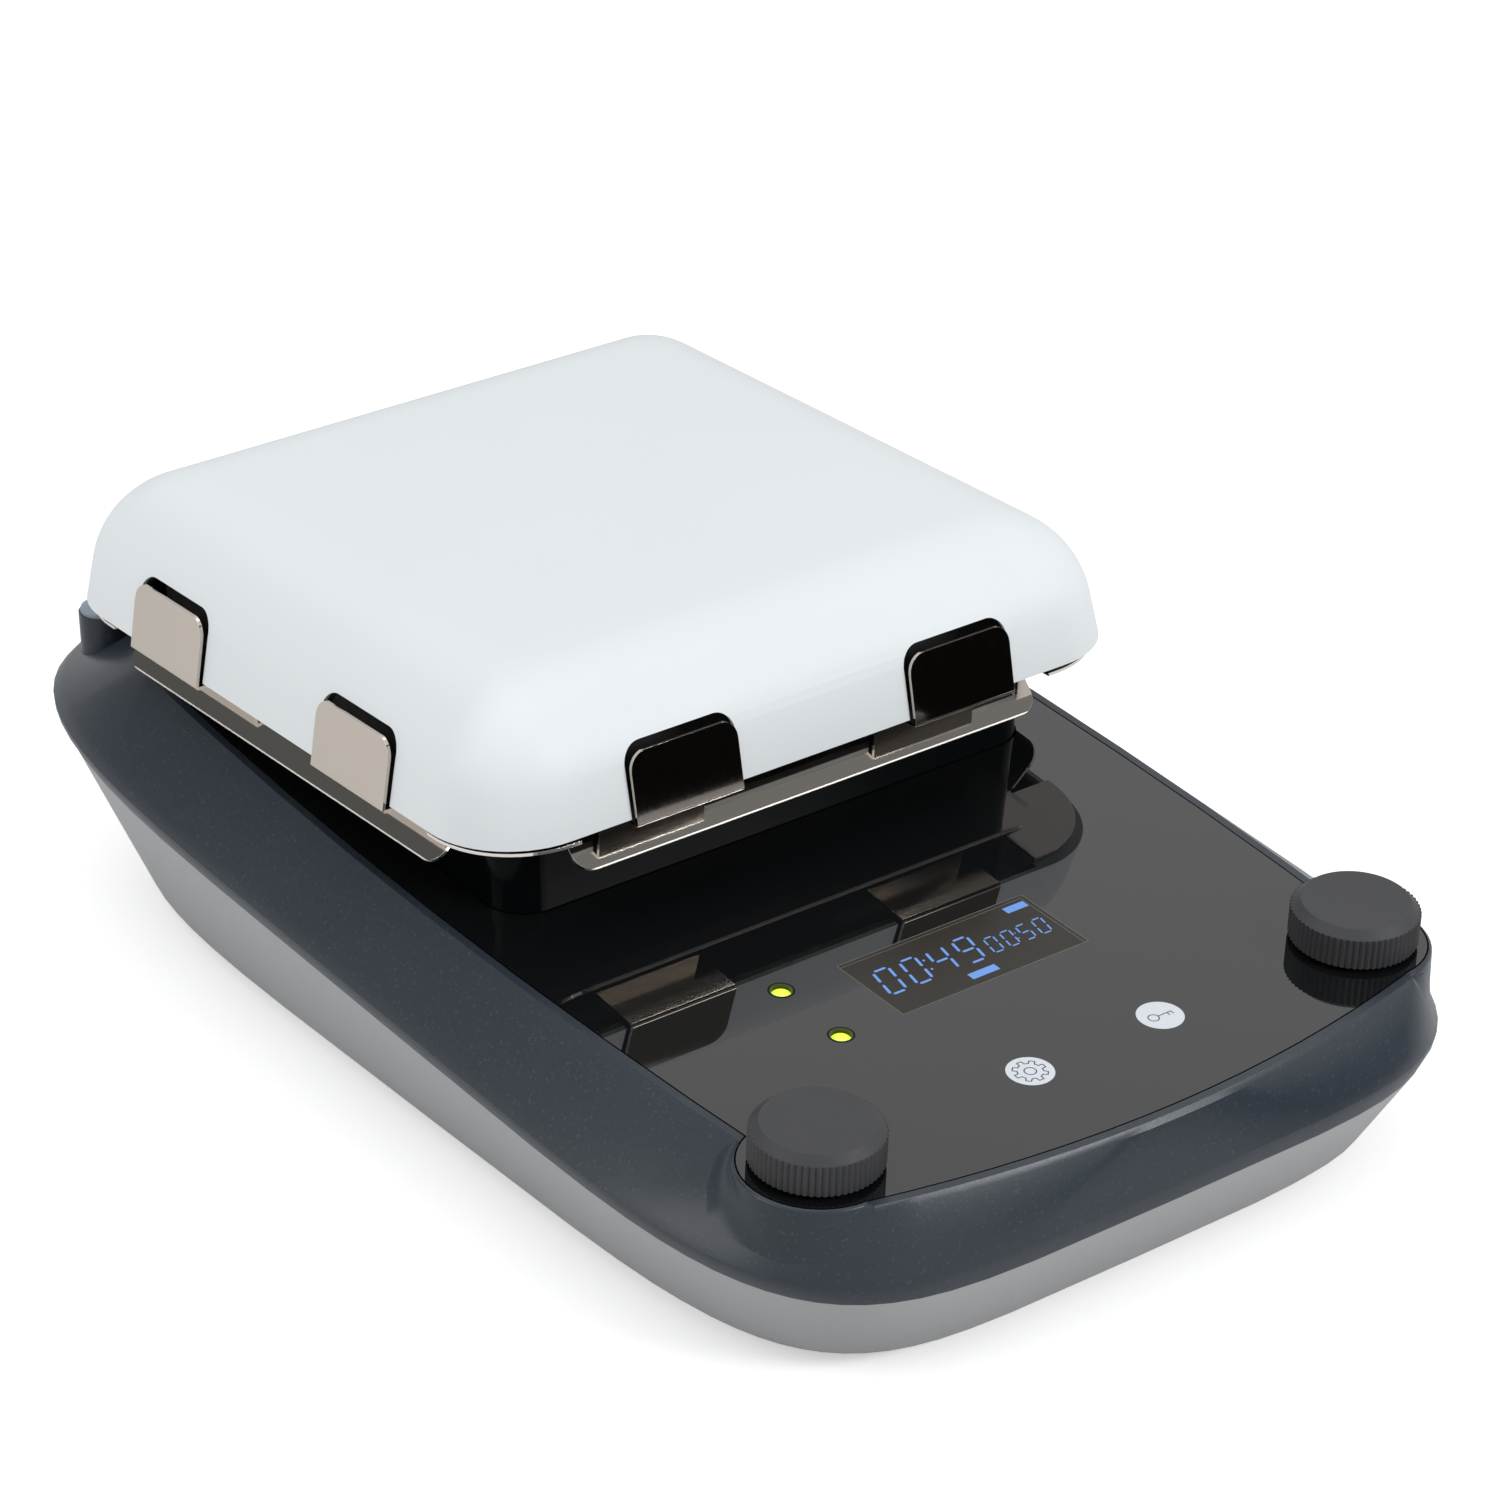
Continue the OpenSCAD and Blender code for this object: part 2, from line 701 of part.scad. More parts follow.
shaft_top = knob_gap + knob_h - 3;
module shaft()
    on_deck(-shaft_foot) translate([knob_x, 0, 0]) cylinder(r = shaft_r, h = shaft_foot + shaft_top);

module right_shaft() color([0.8, 0.8, 0.82]) shaft();
module left_shaft() color([0.8, 0.8, 0.82]) mirror([1, 0, 0]) shaft();

// Fluted outline of a knob
module knurl(r)
    polygon([for (i = [0:flutes - 1], k = [0:3])
        let (a = 360 * (i + k / 4) / flutes, d = k == 0 ? flute_d : k == 2 ? 0 : flute_d / 3)
        (r - d) * [cos(a), sin(a)]]);

module knob()
    on_deck(knob_gap) translate([knob_x, 0, 0]) difference() {
        union() {
            linear_extrude(knob_h - knob_bevel) knurl(knob_r);
            translate([0, 0, knob_h - knob_bevel])
                cylinder(r1 = knob_r - flute_d, r2 = knob_r - flute_d - knob_bevel, h = knob_bevel);
        }
        // Shallow dish on top, shaft bore, and the hollow round the nut underneath
        translate([0, 0, knob_h + dish_r - dish_d]) sphere(r = dish_r);
        translate([0, 0, -past]) cylinder(r = shaft_r + running / 5, h = shaft_top - knob_gap + past);
        translate([0, 0, -past]) tube(knob_r - 2.5, 5.5, knob_h - 4 + past);
        translate([0, 0, -past]) cylinder(r = knob_r - 2.5, h = past + 1.4);
    }
dish_d = 0.3;
dish_span = 11;
dish_r = (dish_span * dish_span + dish_d * dish_d) / (2 * dish_d);

module right_knob() color([0.27, 0.28, 0.29]) knob();
module left_knob() color([0.27, 0.28, 0.29]) mirror([1, 0, 0]) knob();

// Collar: square tube with a floor cut to the deck's slope and a top plate under the shields
module pedestal_collar()
    color([0.07, 0.07, 0.08]) difference() {
        on_plate(deck_z / 2) linear_extrude(deflector_z - deck_z / 2) rounded_square(collar_half, collar_r);
        difference() {
            on_plate(0) linear_extrude(deflector_z - collar_wall)
                rounded_square(collar_half - collar_wall, collar_r - collar_wall);
            on_plate(0) for (x = [-1, 1], y = [-1, 1])
                translate([x * collar_screw_x, y * collar_screw_y, 0])
                    cylinder(r = column_r, h = deflector_z);
        }
        below_deck(recess_d);
        at_collar_screws(-recess_d - past) cylinder(r = column_bore, h = collar_screw_bite + past);
        on_plate(0) at_plate_bosses() cylinder(r = plate_screw_r + loose, h = deflector_z + past);
        on_plate(0) lead_holes(lead_hole_r);
    }

// Everything under a plane parallel to the deck
module below_deck(drop) {
    big = 2 * (front_reach + rear_reach);
    on_deck(-drop) translate([-big / 2, -big / 2, -big]) cube([big, big, big]);
}

plate_screw_r = 2.5;
lead_hole_r = 4;
module at_plate_bosses()
    for (x = [-1, 1], y = [-1, 1])
        translate([x * plate_boss_x, y * plate_boss_x, 0]) children();

terminal_x = element_pitch * (element_legs - 1) / 2;
terminal_y = -element_half - element_elbow_r;
sensor_y = 16;
// Holes for the two heater leads and, in the middle, for the sensors' leads
module lead_holes(r) {
    both_sides() translate([terminal_x, terminal_y, 0]) cylinder(r = r, h = plate_top_z);
    translate([0, sensor_y, 0]) cylinder(r = r, h = plate_top_z);
}

// Lower shield: flat sheet with round corners and a skirt bent down on each side
module heat_deflector()
    color([0.78, 0.77, 0.75]) on_plate(deflector_z) {
        difference() {
            linear_extrude(sheet_t) difference() {
                rounded_square(deflector_half, plate_corner_r);
                four_sides() translate([skirt_reach, -skirt_half - relief])
                    square([deflector_half, 2 * (skirt_half + relief)]);
                at_plate_bosses() circle(plate_screw_r + loose);
            }
            translate([0, 0, -deflector_z]) lead_holes(lead_hole_r);
        }
        four_sides() translate([skirt_reach, 0, sheet_t]) {
            rotate([0, skirt_angle, 0]) translate([0, 0, -sheet_t]) linear_extrude(sheet_t) skirt_outline();
        }
    }
relief = 0.8;

module skirt_outline() {
    r = skirt_end_r;
    translate([0, -skirt_half]) square([skirt_len - r, 2 * skirt_half]);
    translate([0, -skirt_half + r]) square([skirt_len, 2 * (skirt_half - r)]);
    for (s = [-1, 1])
        translate([skirt_len - r, s * (skirt_half - r)]) circle(r, $fn = 32);
}

// Upper shield: square sheet with eight arms that turn up into tabs
module tab_carrier()
    color([0.8, 0.77, 0.73]) on_plate(carrier_z - sheet_t) {
        difference() {
            linear_extrude(sheet_t) difference() {
                rounded_square(collar_half, collar_r);
                at_plate_bosses() circle(plate_screw_r + loose);
            }
            translate([0, 0, -carrier_z]) lead_holes(lead_hole_r);
        }
        four_sides() for (s = [-1, 1])
            translate([tab_reach - sheet_t, s * tab_offset, sheet_t]) tab();
    }

// One tab: its arm, the round outside of the bend, the leaning sheet and two round corners
module tab() {
    r = tab_corner_r;
    arm = tab_reach - sheet_t - collar_half + collar_r;
    up = (tab_h - sheet_t) * [-sin(tab_lean), cos(tab_lean)];
    out = sheet_t * [cos(tab_lean), sin(tab_lean)];
    top = up[1] + out[1];
    difference() {
        translate([0, tab_w / 2, 0]) rotate([90, 0, 0]) linear_extrude(tab_w)
            polygon(concat([[0, 0], [-arm, 0], [-arm, -sheet_t]],
                [for (a = [-90:15:0]) sheet_t * [cos(a), sin(a)]], [out, out + up, up]));
        for (s = [-1, 1])
            translate([-tab_h, 0, 0]) rotate([90, 0, 90]) linear_extrude(2 * tab_h)
                polygon(concat([[s * (tab_w / 2 + past), top - r]],
                    [for (a = [0:15:90]) [s * (tab_w / 2 - r + r * cos(a)), top - r + r * sin(a)]],
                    [[s * (tab_w / 2 - r), top + past], [s * (tab_w / 2 + past), top + past]]));
    }
}

// Plate profile: leaning wall, then a soft edge that meets the flat top
edge_z = plate_h - plate_edge_r;
wall_x = plate_half - edge_z * tan(plate_lean);
edge_x = wall_x - plate_edge_r / cos(plate_lean);
function edge_point(a) = [edge_x + plate_edge_r * sin(a), edge_z + plate_edge_r * cos(a)];

function corner_at(x) = max(plate_corner_r - corner_tighten * (plate_half - x), top_corner_r);
module plate_slice(x, shrink)
    linear_extrude(slice) rounded_square(x - shrink, corner_at(x) - shrink, $fn = 56);

module plate_form(shrink, top) {
    limit = plate_h - top;
    hull() {
        plate_slice(plate_half, shrink);
        for (a = [90 - plate_lean:-5:0])
            let (p = edge_point(a))
                translate([0, 0, min(p[1], limit) - slice])
                    plate_slice(max(p[0], edge_x + shrink), shrink);
        translate([0, 0, limit - slice]) plate_slice(edge_x + shrink, shrink);
    }
}

module notch_outline() {
    r = tab_corner_r + notch_gap;
    w = tab_w + 2 * notch_gap;
    translate([-w / 2, -past]) square([w, notch_h - r + past]);
    translate([-w / 2 + r, -past]) square([w - 2 * r, notch_h + past]);
    for (s = [-1, 1])
        translate([s * (w / 2 - r), notch_h - r]) circle(r, $fn = 32);
}

module hot_plate()
    color([0.9, 0.92, 0.93]) on_plate(plate_rim_z) {
        difference() {
            plate_form(0, 0);
            difference() {
                union() {
                    plate_form(plate_wall, plate_top_t);
                    translate([0, 0, -past]) linear_extrude(past + slice)
                        rounded_square(plate_half - plate_wall, plate_corner_r - plate_wall, $fn = 56);
                }
                translate([0, 0, -past]) at_plate_bosses() cylinder(r = plate_boss_r, h = plate_h);
                translate([0, 0, clamp_top_z - plate_rim_z]) cylinder(r = clamp_boss_r, h = plate_h);
            }
            four_sides() for (s = [-1, 1])
                translate([plate_half - 16, s * tab_offset, 0]) rotate([90, 0, 90])
                    linear_extrude(20) notch_outline();
            translate([0, 0, -past]) at_plate_bosses()
                cylinder(r = plate_screw_r + running, h = plate_screw_bite + past);
            translate([0, 0, clamp_top_z - plate_rim_z - past])
                cylinder(r = plate_screw_r + running, h = clamp_screw_bite + past);
        }
        translate([0, 0, -rim_gap]) at_plate_bosses()
            tube(plate_boss_r, plate_screw_r + running, rim_gap + slice);
    }
clamp_boss_r = 5;
plate_screw_bite = 12;
clamp_screw_bite = 8;

// Sheathed element: straight legs, round bends between them and two terminals bent down
module heating_element()
    color([0.35, 0.33, 0.31]) on_plate(element_z) {
        for (i = [0:element_legs - 1])
            translate([i * element_pitch - terminal_x, element_half, 0]) rotate([90, 0, 0])
                cylinder(r = element_r, h = 2 * element_half, $fn = 32);
        for (i = [0:element_legs - 2])
            translate([(i + 0.5) * element_pitch - terminal_x, (i % 2 == 0 ? 1 : -1) * element_half, 0])
                rotate(i % 2 == 0 ? 0 : 180) rotate_extrude(angle = 180)
                    translate([element_pitch / 2, 0]) circle(element_r, $fn = 32);
        both_sides() {
            translate([terminal_x, -element_half, -element_elbow_r]) rotate([0, -90, 0]) rotate(-90)
                rotate_extrude(angle = 90) translate([element_elbow_r, 0]) circle(element_r, $fn = 32);
            translate([terminal_x, terminal_y, -element_elbow_r - terminal_h])
                cylinder(r = element_r, h = terminal_h, $fn = 32);
        }
    }
terminal_h = 5;

// Slots for the element's bent ends
module terminal_slots()
    both_sides() translate([terminal_x - element_r - loose, terminal_y - element_r - loose])
        square([2 * (element_r + loose), 2 * element_r + element_elbow_r + 2 * loose]);

module element_clamp()
    color([0.7, 0.7, 0.7]) on_plate(pad_top_z) difference() {
        linear_extrude(clamp_t) difference() {
            rounded_square(clamp_half, collar_r);
            at_plate_bosses() circle(plate_boss_r + loose);
            circle(plate_screw_r + loose);
            terminal_slots();
            translate([0, sensor_y]) circle(lead_hole_r);
            translate([0, -thermostat_y]) circle(2);
        }
    }
thermostat_y = 38;

module clamp_screw()
    color([0.7, 0.7, 0.72]) on_plate(pad_top_z) {
        cylinder(r = plate_screw_r, h = clamp_t + clamp_screw_bite - past);
        translate([0, 0, -2.5]) cylinder(r = 4.5, h = 2.5);
    }

module insulation_pad()
    color([0.9, 0.88, 0.8]) on_plate(carrier_z) difference() {
        linear_extrude(pad_top_z - carrier_z) difference() {
            rounded_square(pad_half, collar_r);
            at_plate_bosses() circle(plate_boss_r + loose);
            terminal_slots();
            translate([0, sensor_y]) circle(lead_hole_r);
        }
        translate([0, 0, pad_top_z - carrier_z - 3]) cylinder(r = 5, h = 3 + past);
    }

module temperature_probe()
    color([0.8, 0.8, 0.8]) on_plate(cavity_z - probe_r) {
        translate([0, sensor_y, 0]) rotate([-90, 0, 0]) cylinder(r = probe_r, h = probe_len, $fn = 32);
        translate([0, sensor_y, 0]) sphere(r = probe_r, $fn = 32);
        translate([0, sensor_y, -sensor_drop]) cylinder(r = probe_r, h = sensor_drop, $fn = 32);
    }
sensor_drop = cavity_z - probe_r - power_z - board_t - 0.5;

module overheat_thermostat()
    color([0.75, 0.74, 0.7]) on_plate(clamp_top_z) translate([0, -thermostat_y, 0])
        cylinder(r = thermostat_r, h = cavity_z - clamp_top_z);

module plate_screws()
    color([0.7, 0.7, 0.72]) on_plate(deflector_z - collar_wall) at_plate_bosses() {
        cylinder(r = plate_screw_r, h = collar_wall + 2 * sheet_t + plate_screw_bite - past);
        translate([0, 0, -3]) cylinder(r = 4.2, h = 3);
    }

terminal_block_h = 12;
module power_board()
    color([0.12, 0.4, 0.25]) translate([0, power_y, power_z]) {
        linear_extrude(board_t) difference() {
            square([power_w, power_len], center = true);
            for (x = [-1, 1], y = [-1, 1])
                translate([x * (power_w / 2 - 6), y * (power_len / 2 - 16)]) circle(column_bore + running);
        }
        translate([0, 0, board_t]) {
            // Transformer, relay, capacitors, terminal blocks and the ribbon's connector
            translate([-50, -20, 0]) cube([38, 32, 26]);
            translate([-4, -34, 0]) cube([16, 19, 15]);
            for (x = [-34, -20]) translate([x, 26, 0]) cylinder(r = 5.5, h = 18);
            translate([terminal_block_x[0], power_len / 2 - 10, 0]) cube([34, 9, terminal_block_h]);
            translate([terminal_block_x[1], power_len / 2 - 10, 0]) cube([26, 9, terminal_block_h]);
            both_sides() translate([terminal_x - 4, -power_len / 2 + 1, 0]) cube([8, 8, terminal_block_h]);
            translate([ribbon_x - ribbon_w / 2 - 2, -power_len / 2 + 1, 0])
                cube([ribbon_w + 4, 8, connector_h]);
        }
    }
terminal_block_x = [-52, 16];

// Finned heat sink on the power board
sink_w = 36;
sink_h = 24;
fins = 7;
module heat_sink()
    color([0.65, 0.66, 0.68]) translate([20, power_y - 16, power_z + board_t])
        rotate([90, 0, 90]) linear_extrude(sink_w) {
            square([36, 3]);
            for (i = [0:fins - 1])
                translate([i * (36 - 1.5) / (fins - 1), 0]) square([1.5, sink_h]);
        }

// Flat cable between the boards
ribbon_x = 0;
ribbon_w = 26;
ribbon_t = 1;
connector_h = 5;
module ribbon_cable() {
    y0 = knob_y + (board_rear_v - 5) * cos(deck_tilt);
    z0 = plane_z(y0, pcb_drop + board_t) - connector_h - loose;
    y1 = power_y - power_len / 2 + 5;
    z1 = power_z + board_t + connector_h + loose;
    color([0.7, 0.7, 0.72]) translate([ribbon_x - ribbon_w / 2, 0, 0]) rotate([90, 0, 90])
        linear_extrude(ribbon_w)
            polygon([[y0, z0], [y0, z0 - 3], [y0 + 8, z1 + 4], [y1 - 8, z1 + 4], [y1, z1 + ribbon_t + 2],
                     [y1, z1], [y1 + ribbon_t, z1], [y1 + ribbon_t, z1 + ribbon_t + 3],
                     [y1 - 7, z1 + ribbon_t + 4], [y0 + 9, z1 + ribbon_t + 4],
                     [y0 + ribbon_t, z0 - 3], [y0 + ribbon_t, z0]]);
}

lead_r = 1.4;
// Leads from the element's terminals down to the board, with a round bend above it
lead_bend_r = 6;
module heater_leads()
    color([0.8, 0.25, 0.2]) both_sides() translate([terminal_x, plate_y + terminal_y, 0]) {
        z0 = power_z + board_t + terminal_block_h / 2;
        z1 = element_z - element_elbow_r - terminal_h;
        y1 = power_y - power_len / 2 + 1 - loose - plate_y - terminal_y;
        translate([0, 0, z0 + lead_bend_r]) cylinder(r = lead_r, h = z1 - z0 - lead_bend_r, $fn = 24);
        translate([0, lead_bend_r, z0 + lead_bend_r]) rotate([0, -90, 0]) rotate(180)
            rotate_extrude(angle = 90) translate([lead_bend_r, 0]) circle(lead_r, $fn = 24);
        translate([0, lead_bend_r, z0]) rotate([-90, 0, 0])
            cylinder(r = lead_r, h = y1 - lead_bend_r, $fn = 24);
    }

module mains_leads()
    color([0.25, 0.3, 0.6]) {
        y0 = power_y + power_len / 2 - 1 + loose;
        z0 = power_z + board_t + terminal_block_h / 2;
        y1 = pocket_y - inlet_depth - loose;
        y2 = pocket_y - switch_depth - loose;
        for (x = [-7, 7])
            lead([inlet_x + x, y0, z0], [inlet_x + x, y1, connector_z - 2], lead_r);
        for (x = [-4, 4])
            lead([switch_x + x, y0, z0], [switch_x + x, y2, connector_z], lead_r);
    }

// Appliance inlet: flange, body with a cavity, three blades
inlet_body_w = 27;
inlet_body_h = 19.6;
inlet_depth = 20;
inlet_flange_w = 50;
inlet_flange_h = 22.6;
inlet_flange_t = 2.4;
inlet_screw_x = 20;
blade_recess = 5;
module power_inlet()
    color([0.1, 0.1, 0.11]) translate([inlet_x, 0, connector_z]) {
        difference() {
            union() {
                box_y(inlet_flange_w, inlet_flange_h, pocket_y, inlet_flange_t);
                box_y(inlet_body_w, inlet_body_h, pocket_y - inlet_depth, inlet_depth + past);
            }
            box_y(24.4, 16.8, pocket_y - inlet_depth + 3, 2 * inlet_depth);
            for (s = [-1, 1])
                translate([s * inlet_screw_x, pocket_y + inlet_flange_t + past, 0]) rotate([90, 0, 0])
                    cylinder(r = column_bore + running, h = inlet_flange_t + 2 * past);
        }
        for (p = [[-7, -2], [0, 2], [7, -2]])
            translate([p[0], 0, p[1]])
                box_y(2, 4, pocket_y - inlet_depth + 2, inlet_depth + inlet_flange_t - 2 - blade_recess);
    }

module inlet_screws()
    color([0.7, 0.7, 0.72]) for (s = [-1, 1])
        translate([inlet_x + s * inlet_screw_x, pocket_y + inlet_flange_t, connector_z]) rotate([90, 0, 0]) {
            cylinder(r = screw_r, h = 10);
            translate([0, 0, -1.6]) cylinder(r = head_r, h = 1.6);
        }

// Rocker switch: bezel and body, with a rocker that tilts on two pins
switch_body_w = 13;
switch_body_h = 19.2;
switch_depth = 17;
switch_flange_w = 15;
switch_flange_h = 21.4;
switch_flange_t = 2;
rocker_w = 9.6;
rocker_half = 7.4;
rocker_tilt = 8;
rocker_pin_r = 1;
module switch_frame()
    color([0.1, 0.1, 0.11]) translate([switch_x, 0, connector_z]) difference() {
        union() {
            box_y(switch_flange_w, switch_flange_h, pocket_y, switch_flange_t);
            box_y(switch_body_w, switch_body_h, pocket_y - switch_depth, switch_depth + past);
        }
        box_y(rocker_w + 2 * loose, 2 * rocker_half + 2.4, pocket_y - 9, 9 + switch_flange_t + past);
        rocker_pins(running);
    }

rocker_y = -2;
module rocker_pins(grow)
    translate([-rocker_w / 2 - 1.4 - grow, pocket_y + rocker_y, 0]) rotate([0, 90, 0])
        cylinder(r = rocker_pin_r + grow, h = rocker_w + 2.8 + 2 * grow, $fn = 32);

module switch_rocker()
    color([0.16, 0.16, 0.17]) translate([switch_x, 0, connector_z]) {
        rocker_pins(0);
        translate([0, pocket_y + rocker_y, 0]) rotate([rocker_tilt, 0, 0])
            rotate([90, 0, 90]) translate([0, 0, -rocker_w / 2]) linear_extrude(rocker_w)
                polygon([[-4, -3], [-4, 3], [3.4, rocker_half], [5.2, rocker_half], [4.2, 0],
                         [5.2, -rocker_half], [3.4, -rocker_half]]);
    }

// Steel inserts for the support rods
socket_r = 5;
socket_h = rod_bore_h + 3;
socket_sink = 0.5;
module rod_sockets()
    color([0.7, 0.7, 0.72]) both_sides()
        translate([rod_x, rod_y, rod_top_z - socket_h]) difference() {
            cylinder(r = socket_r, h = socket_h - socket_sink);
            translate([0, 0, socket_h - rod_bore_h - socket_sink])
                cylinder(r = rod_bore_r, h = rod_bore_h + past);
        }

// Domed plug that closes a rod socket
cap_stem = 8;
module rod_cap()
    translate([rod_x, rod_y, rod_top_z]) rotate_extrude() {
        stem = rod_bore_r - 2 * running;
        polygon(concat([[0, -cap_stem], [stem, -cap_stem], [stem, 0], [cap_r, 0], [cap_r, 0.8]],
            [for (a = [15:15:90]) [cap_r * cos(a), 0.8 + (cap_h - 0.8) * sin(a)]]));
    }

module right_rod_cap() color([0.47, 0.51, 0.56]) rod_cap();
module left_rod_cap() color([0.47, 0.51, 0.56]) mirror([1, 0, 0]) rod_cap();

module rubber_feet()
    color([0.12, 0.12, 0.12]) at_feet() {
        rotate_extrude() polygon([[0, 0], [foot_r - 1, 0], [foot_r, 1], [foot_r, foot_h], [0, foot_h]]);
        cylinder(r = foot_stem_r, h = floor_z);
        translate([0, 0, floor_z]) cylinder(r1 = foot_stem_r + 1, r2 = foot_stem_r - 0.5, h = 2);
    }

module housing_screws()
    color([0.7, 0.7, 0.72]) for (c = columns) both_sides() {
        y = column_y(c[1]);
        base = shell_z + column_head_z;
        translate([c[0], y, 0]) {
            translate([0, 0, base])
                cylinder(r = screw_r, h = plane_z(y, split_drop) + pilot_len - 2.5 - base);
            translate([0, 0, base - head_h]) cylinder(r = head_r, h = head_h);
        }
    }

module collar_screws()
    color([0.7, 0.7, 0.72]) at_collar_screws(-deck_under) {
        cylinder(r = screw_r, h = wall + collar_screw_bite - 0.5);
        translate([0, 0, -head_h]) cylinder(r = head_r, h = head_h);
    }

module board_screws()
    color([0.7, 0.7, 0.72]) {
        on_deck(-pcb_drop - board_t) at_board_posts() {
            translate([0, 0, -1.6]) cylinder(r = 2.6, h = 1.6);
            cylinder(r = screw_r, h = board_t + post_bite - 0.5);
        }
        at_power_posts() translate([0, 0, power_z + board_t]) {
            cylinder(r = 2.6, h = 1.6);
            translate([0, 0, -board_t - post_h]) cylinder(r = screw_r, h = board_t + post_h);
        }
    }

lower_housing();
upper_housing();
control_glass();
glass_gasket();
display_module();
status_lights();
touch_pads();
control_board();
knob_encoders();
encoder_nuts();
left_plunger();
right_plunger();
left_shaft();
right_shaft();
left_knob();
right_knob();
pedestal_collar();
heat_deflector();
tab_carrier();
hot_plate();
heating_element();
element_clamp();
clamp_screw();
insulation_pad();
temperature_probe();
overheat_thermostat();
plate_screws();
power_board();
heat_sink();
ribbon_cable();
heater_leads();
mains_leads();
power_inlet();
inlet_screws();
switch_frame();
switch_rocker();
rod_sockets();
left_rod_cap();
right_rod_cap();
rubber_feet();
housing_screws();
collar_screws();
board_screws();
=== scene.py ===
# %% [markdown]
# # A laboratory hotplate, dressed for its photograph
# The solids of this hotplate are already built and packed. This lesson loads them as a fixed
# frame, gives each one the finish of the real part, and adds the small things that a solid
# leaves out: the digits in the display, the printed touch keys, the lenses of the two lights.
# Everything is in metres, with the front of the hotplate towards -Y and up along +Z.

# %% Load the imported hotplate
import math
import bpy
import bmesh
from mathutils import Matrix, Vector
from mathutils.bvhtree import BVHTree


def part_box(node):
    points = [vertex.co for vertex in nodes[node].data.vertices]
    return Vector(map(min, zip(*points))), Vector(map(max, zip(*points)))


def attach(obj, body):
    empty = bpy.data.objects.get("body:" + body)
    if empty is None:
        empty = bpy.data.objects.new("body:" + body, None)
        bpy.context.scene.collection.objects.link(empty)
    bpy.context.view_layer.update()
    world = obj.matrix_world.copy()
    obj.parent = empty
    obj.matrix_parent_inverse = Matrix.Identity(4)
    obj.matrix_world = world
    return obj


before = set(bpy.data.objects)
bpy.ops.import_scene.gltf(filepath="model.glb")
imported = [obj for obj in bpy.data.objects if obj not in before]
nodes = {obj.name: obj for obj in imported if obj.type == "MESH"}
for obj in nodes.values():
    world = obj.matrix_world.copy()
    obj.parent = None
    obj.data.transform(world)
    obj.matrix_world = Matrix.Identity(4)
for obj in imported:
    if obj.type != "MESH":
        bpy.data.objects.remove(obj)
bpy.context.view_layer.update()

# %% [markdown]
# ## The camera
# A product photographer stands well back with a long lens, so that the hotplate keeps its
# proportions. The eye sits to the left of the front and looks down by about 27 degrees. A
# camera is placed by its eye and by three axes: right, up, and back towards the photographer.
# They are the columns of its matrix. The lens and the sensor's width are in millimetres.

# %% Camera
SENSOR_WIDTH = 36.0
LENS = 117.36
NEAREST = 0.05
FARTHEST = 20.0
EYE = Vector((-0.6095, -0.8256, 0.5882))
RIGHT = Vector((0.7955, -0.6058, -0.0099))
BACK = Vector((-0.5364, -0.7118, 0.4535))


def camera_from(eye, right, back, lens):
    """A camera that stands at the eye; its right is made square to its back."""
    back = back.normalized()
    right = (right - back * right.dot(back)).normalized()
    up = back.cross(right)
    data = bpy.data.cameras.new("camera")
    data.lens = lens
    data.sensor_width = SENSOR_WIDTH
    data.clip_start = NEAREST
    data.clip_end = FARTHEST
    made = bpy.data.objects.new("camera", data)
    bpy.context.scene.collection.objects.link(made)
    turn = Matrix((right, up, back)).transposed().to_4x4()
    made.matrix_world = Matrix.Translation(eye) @ turn
    bpy.context.scene.camera = made
    return made


camera = camera_from(EYE, RIGHT, BACK, LENS)
print("camera:", [round(v, 3) for v in camera.location], "lens", camera.data.lens)

# %% [markdown]
# ## Shader maths that reads like maths
# A finish is a small graph of nodes. Written node by node it is hard to read, so two helpers
# keep it short. `Wire` wraps one socket, and adding, multiplying or comparing wires adds the
# Math node that does it. `Look` is a finish in the making, with one method for every other
# node: its type, the settings that have to come first, and the values or wires of its sockets.
# The light of the room is a graph too, so a look can also be a world.

# %% Wire and Look
class Wire:
    """One socket of a look's graph, with the operators of plain numbers."""

    def __init__(self, look, socket):
        self.look = look
        self.socket = socket

    def maths(self, how, *others):
        sockets = {0: self}
        for place, other in enumerate(others):
            sockets[place + 1] = other
        return self.look.add("ShaderNodeMath", {"operation": how}, sockets)

    def __add__(self, other):
        return self.maths("ADD", other)

    def __radd__(self, other):
        return self.maths("ADD", other)

    def __mul__(self, other):
        return self.maths("MULTIPLY", other)

    def __rmul__(self, other):
        return self.maths("MULTIPLY", other)

    def __sub__(self, other):
        return self.maths("SUBTRACT", other)

    def __rsub__(self, other):
        return (self * -1.0) + other

    def __gt__(self, other):
        return self.maths("GREATER_THAN", other)

    def __lt__(self, other):
        return self.maths("LESS_THAN", other)


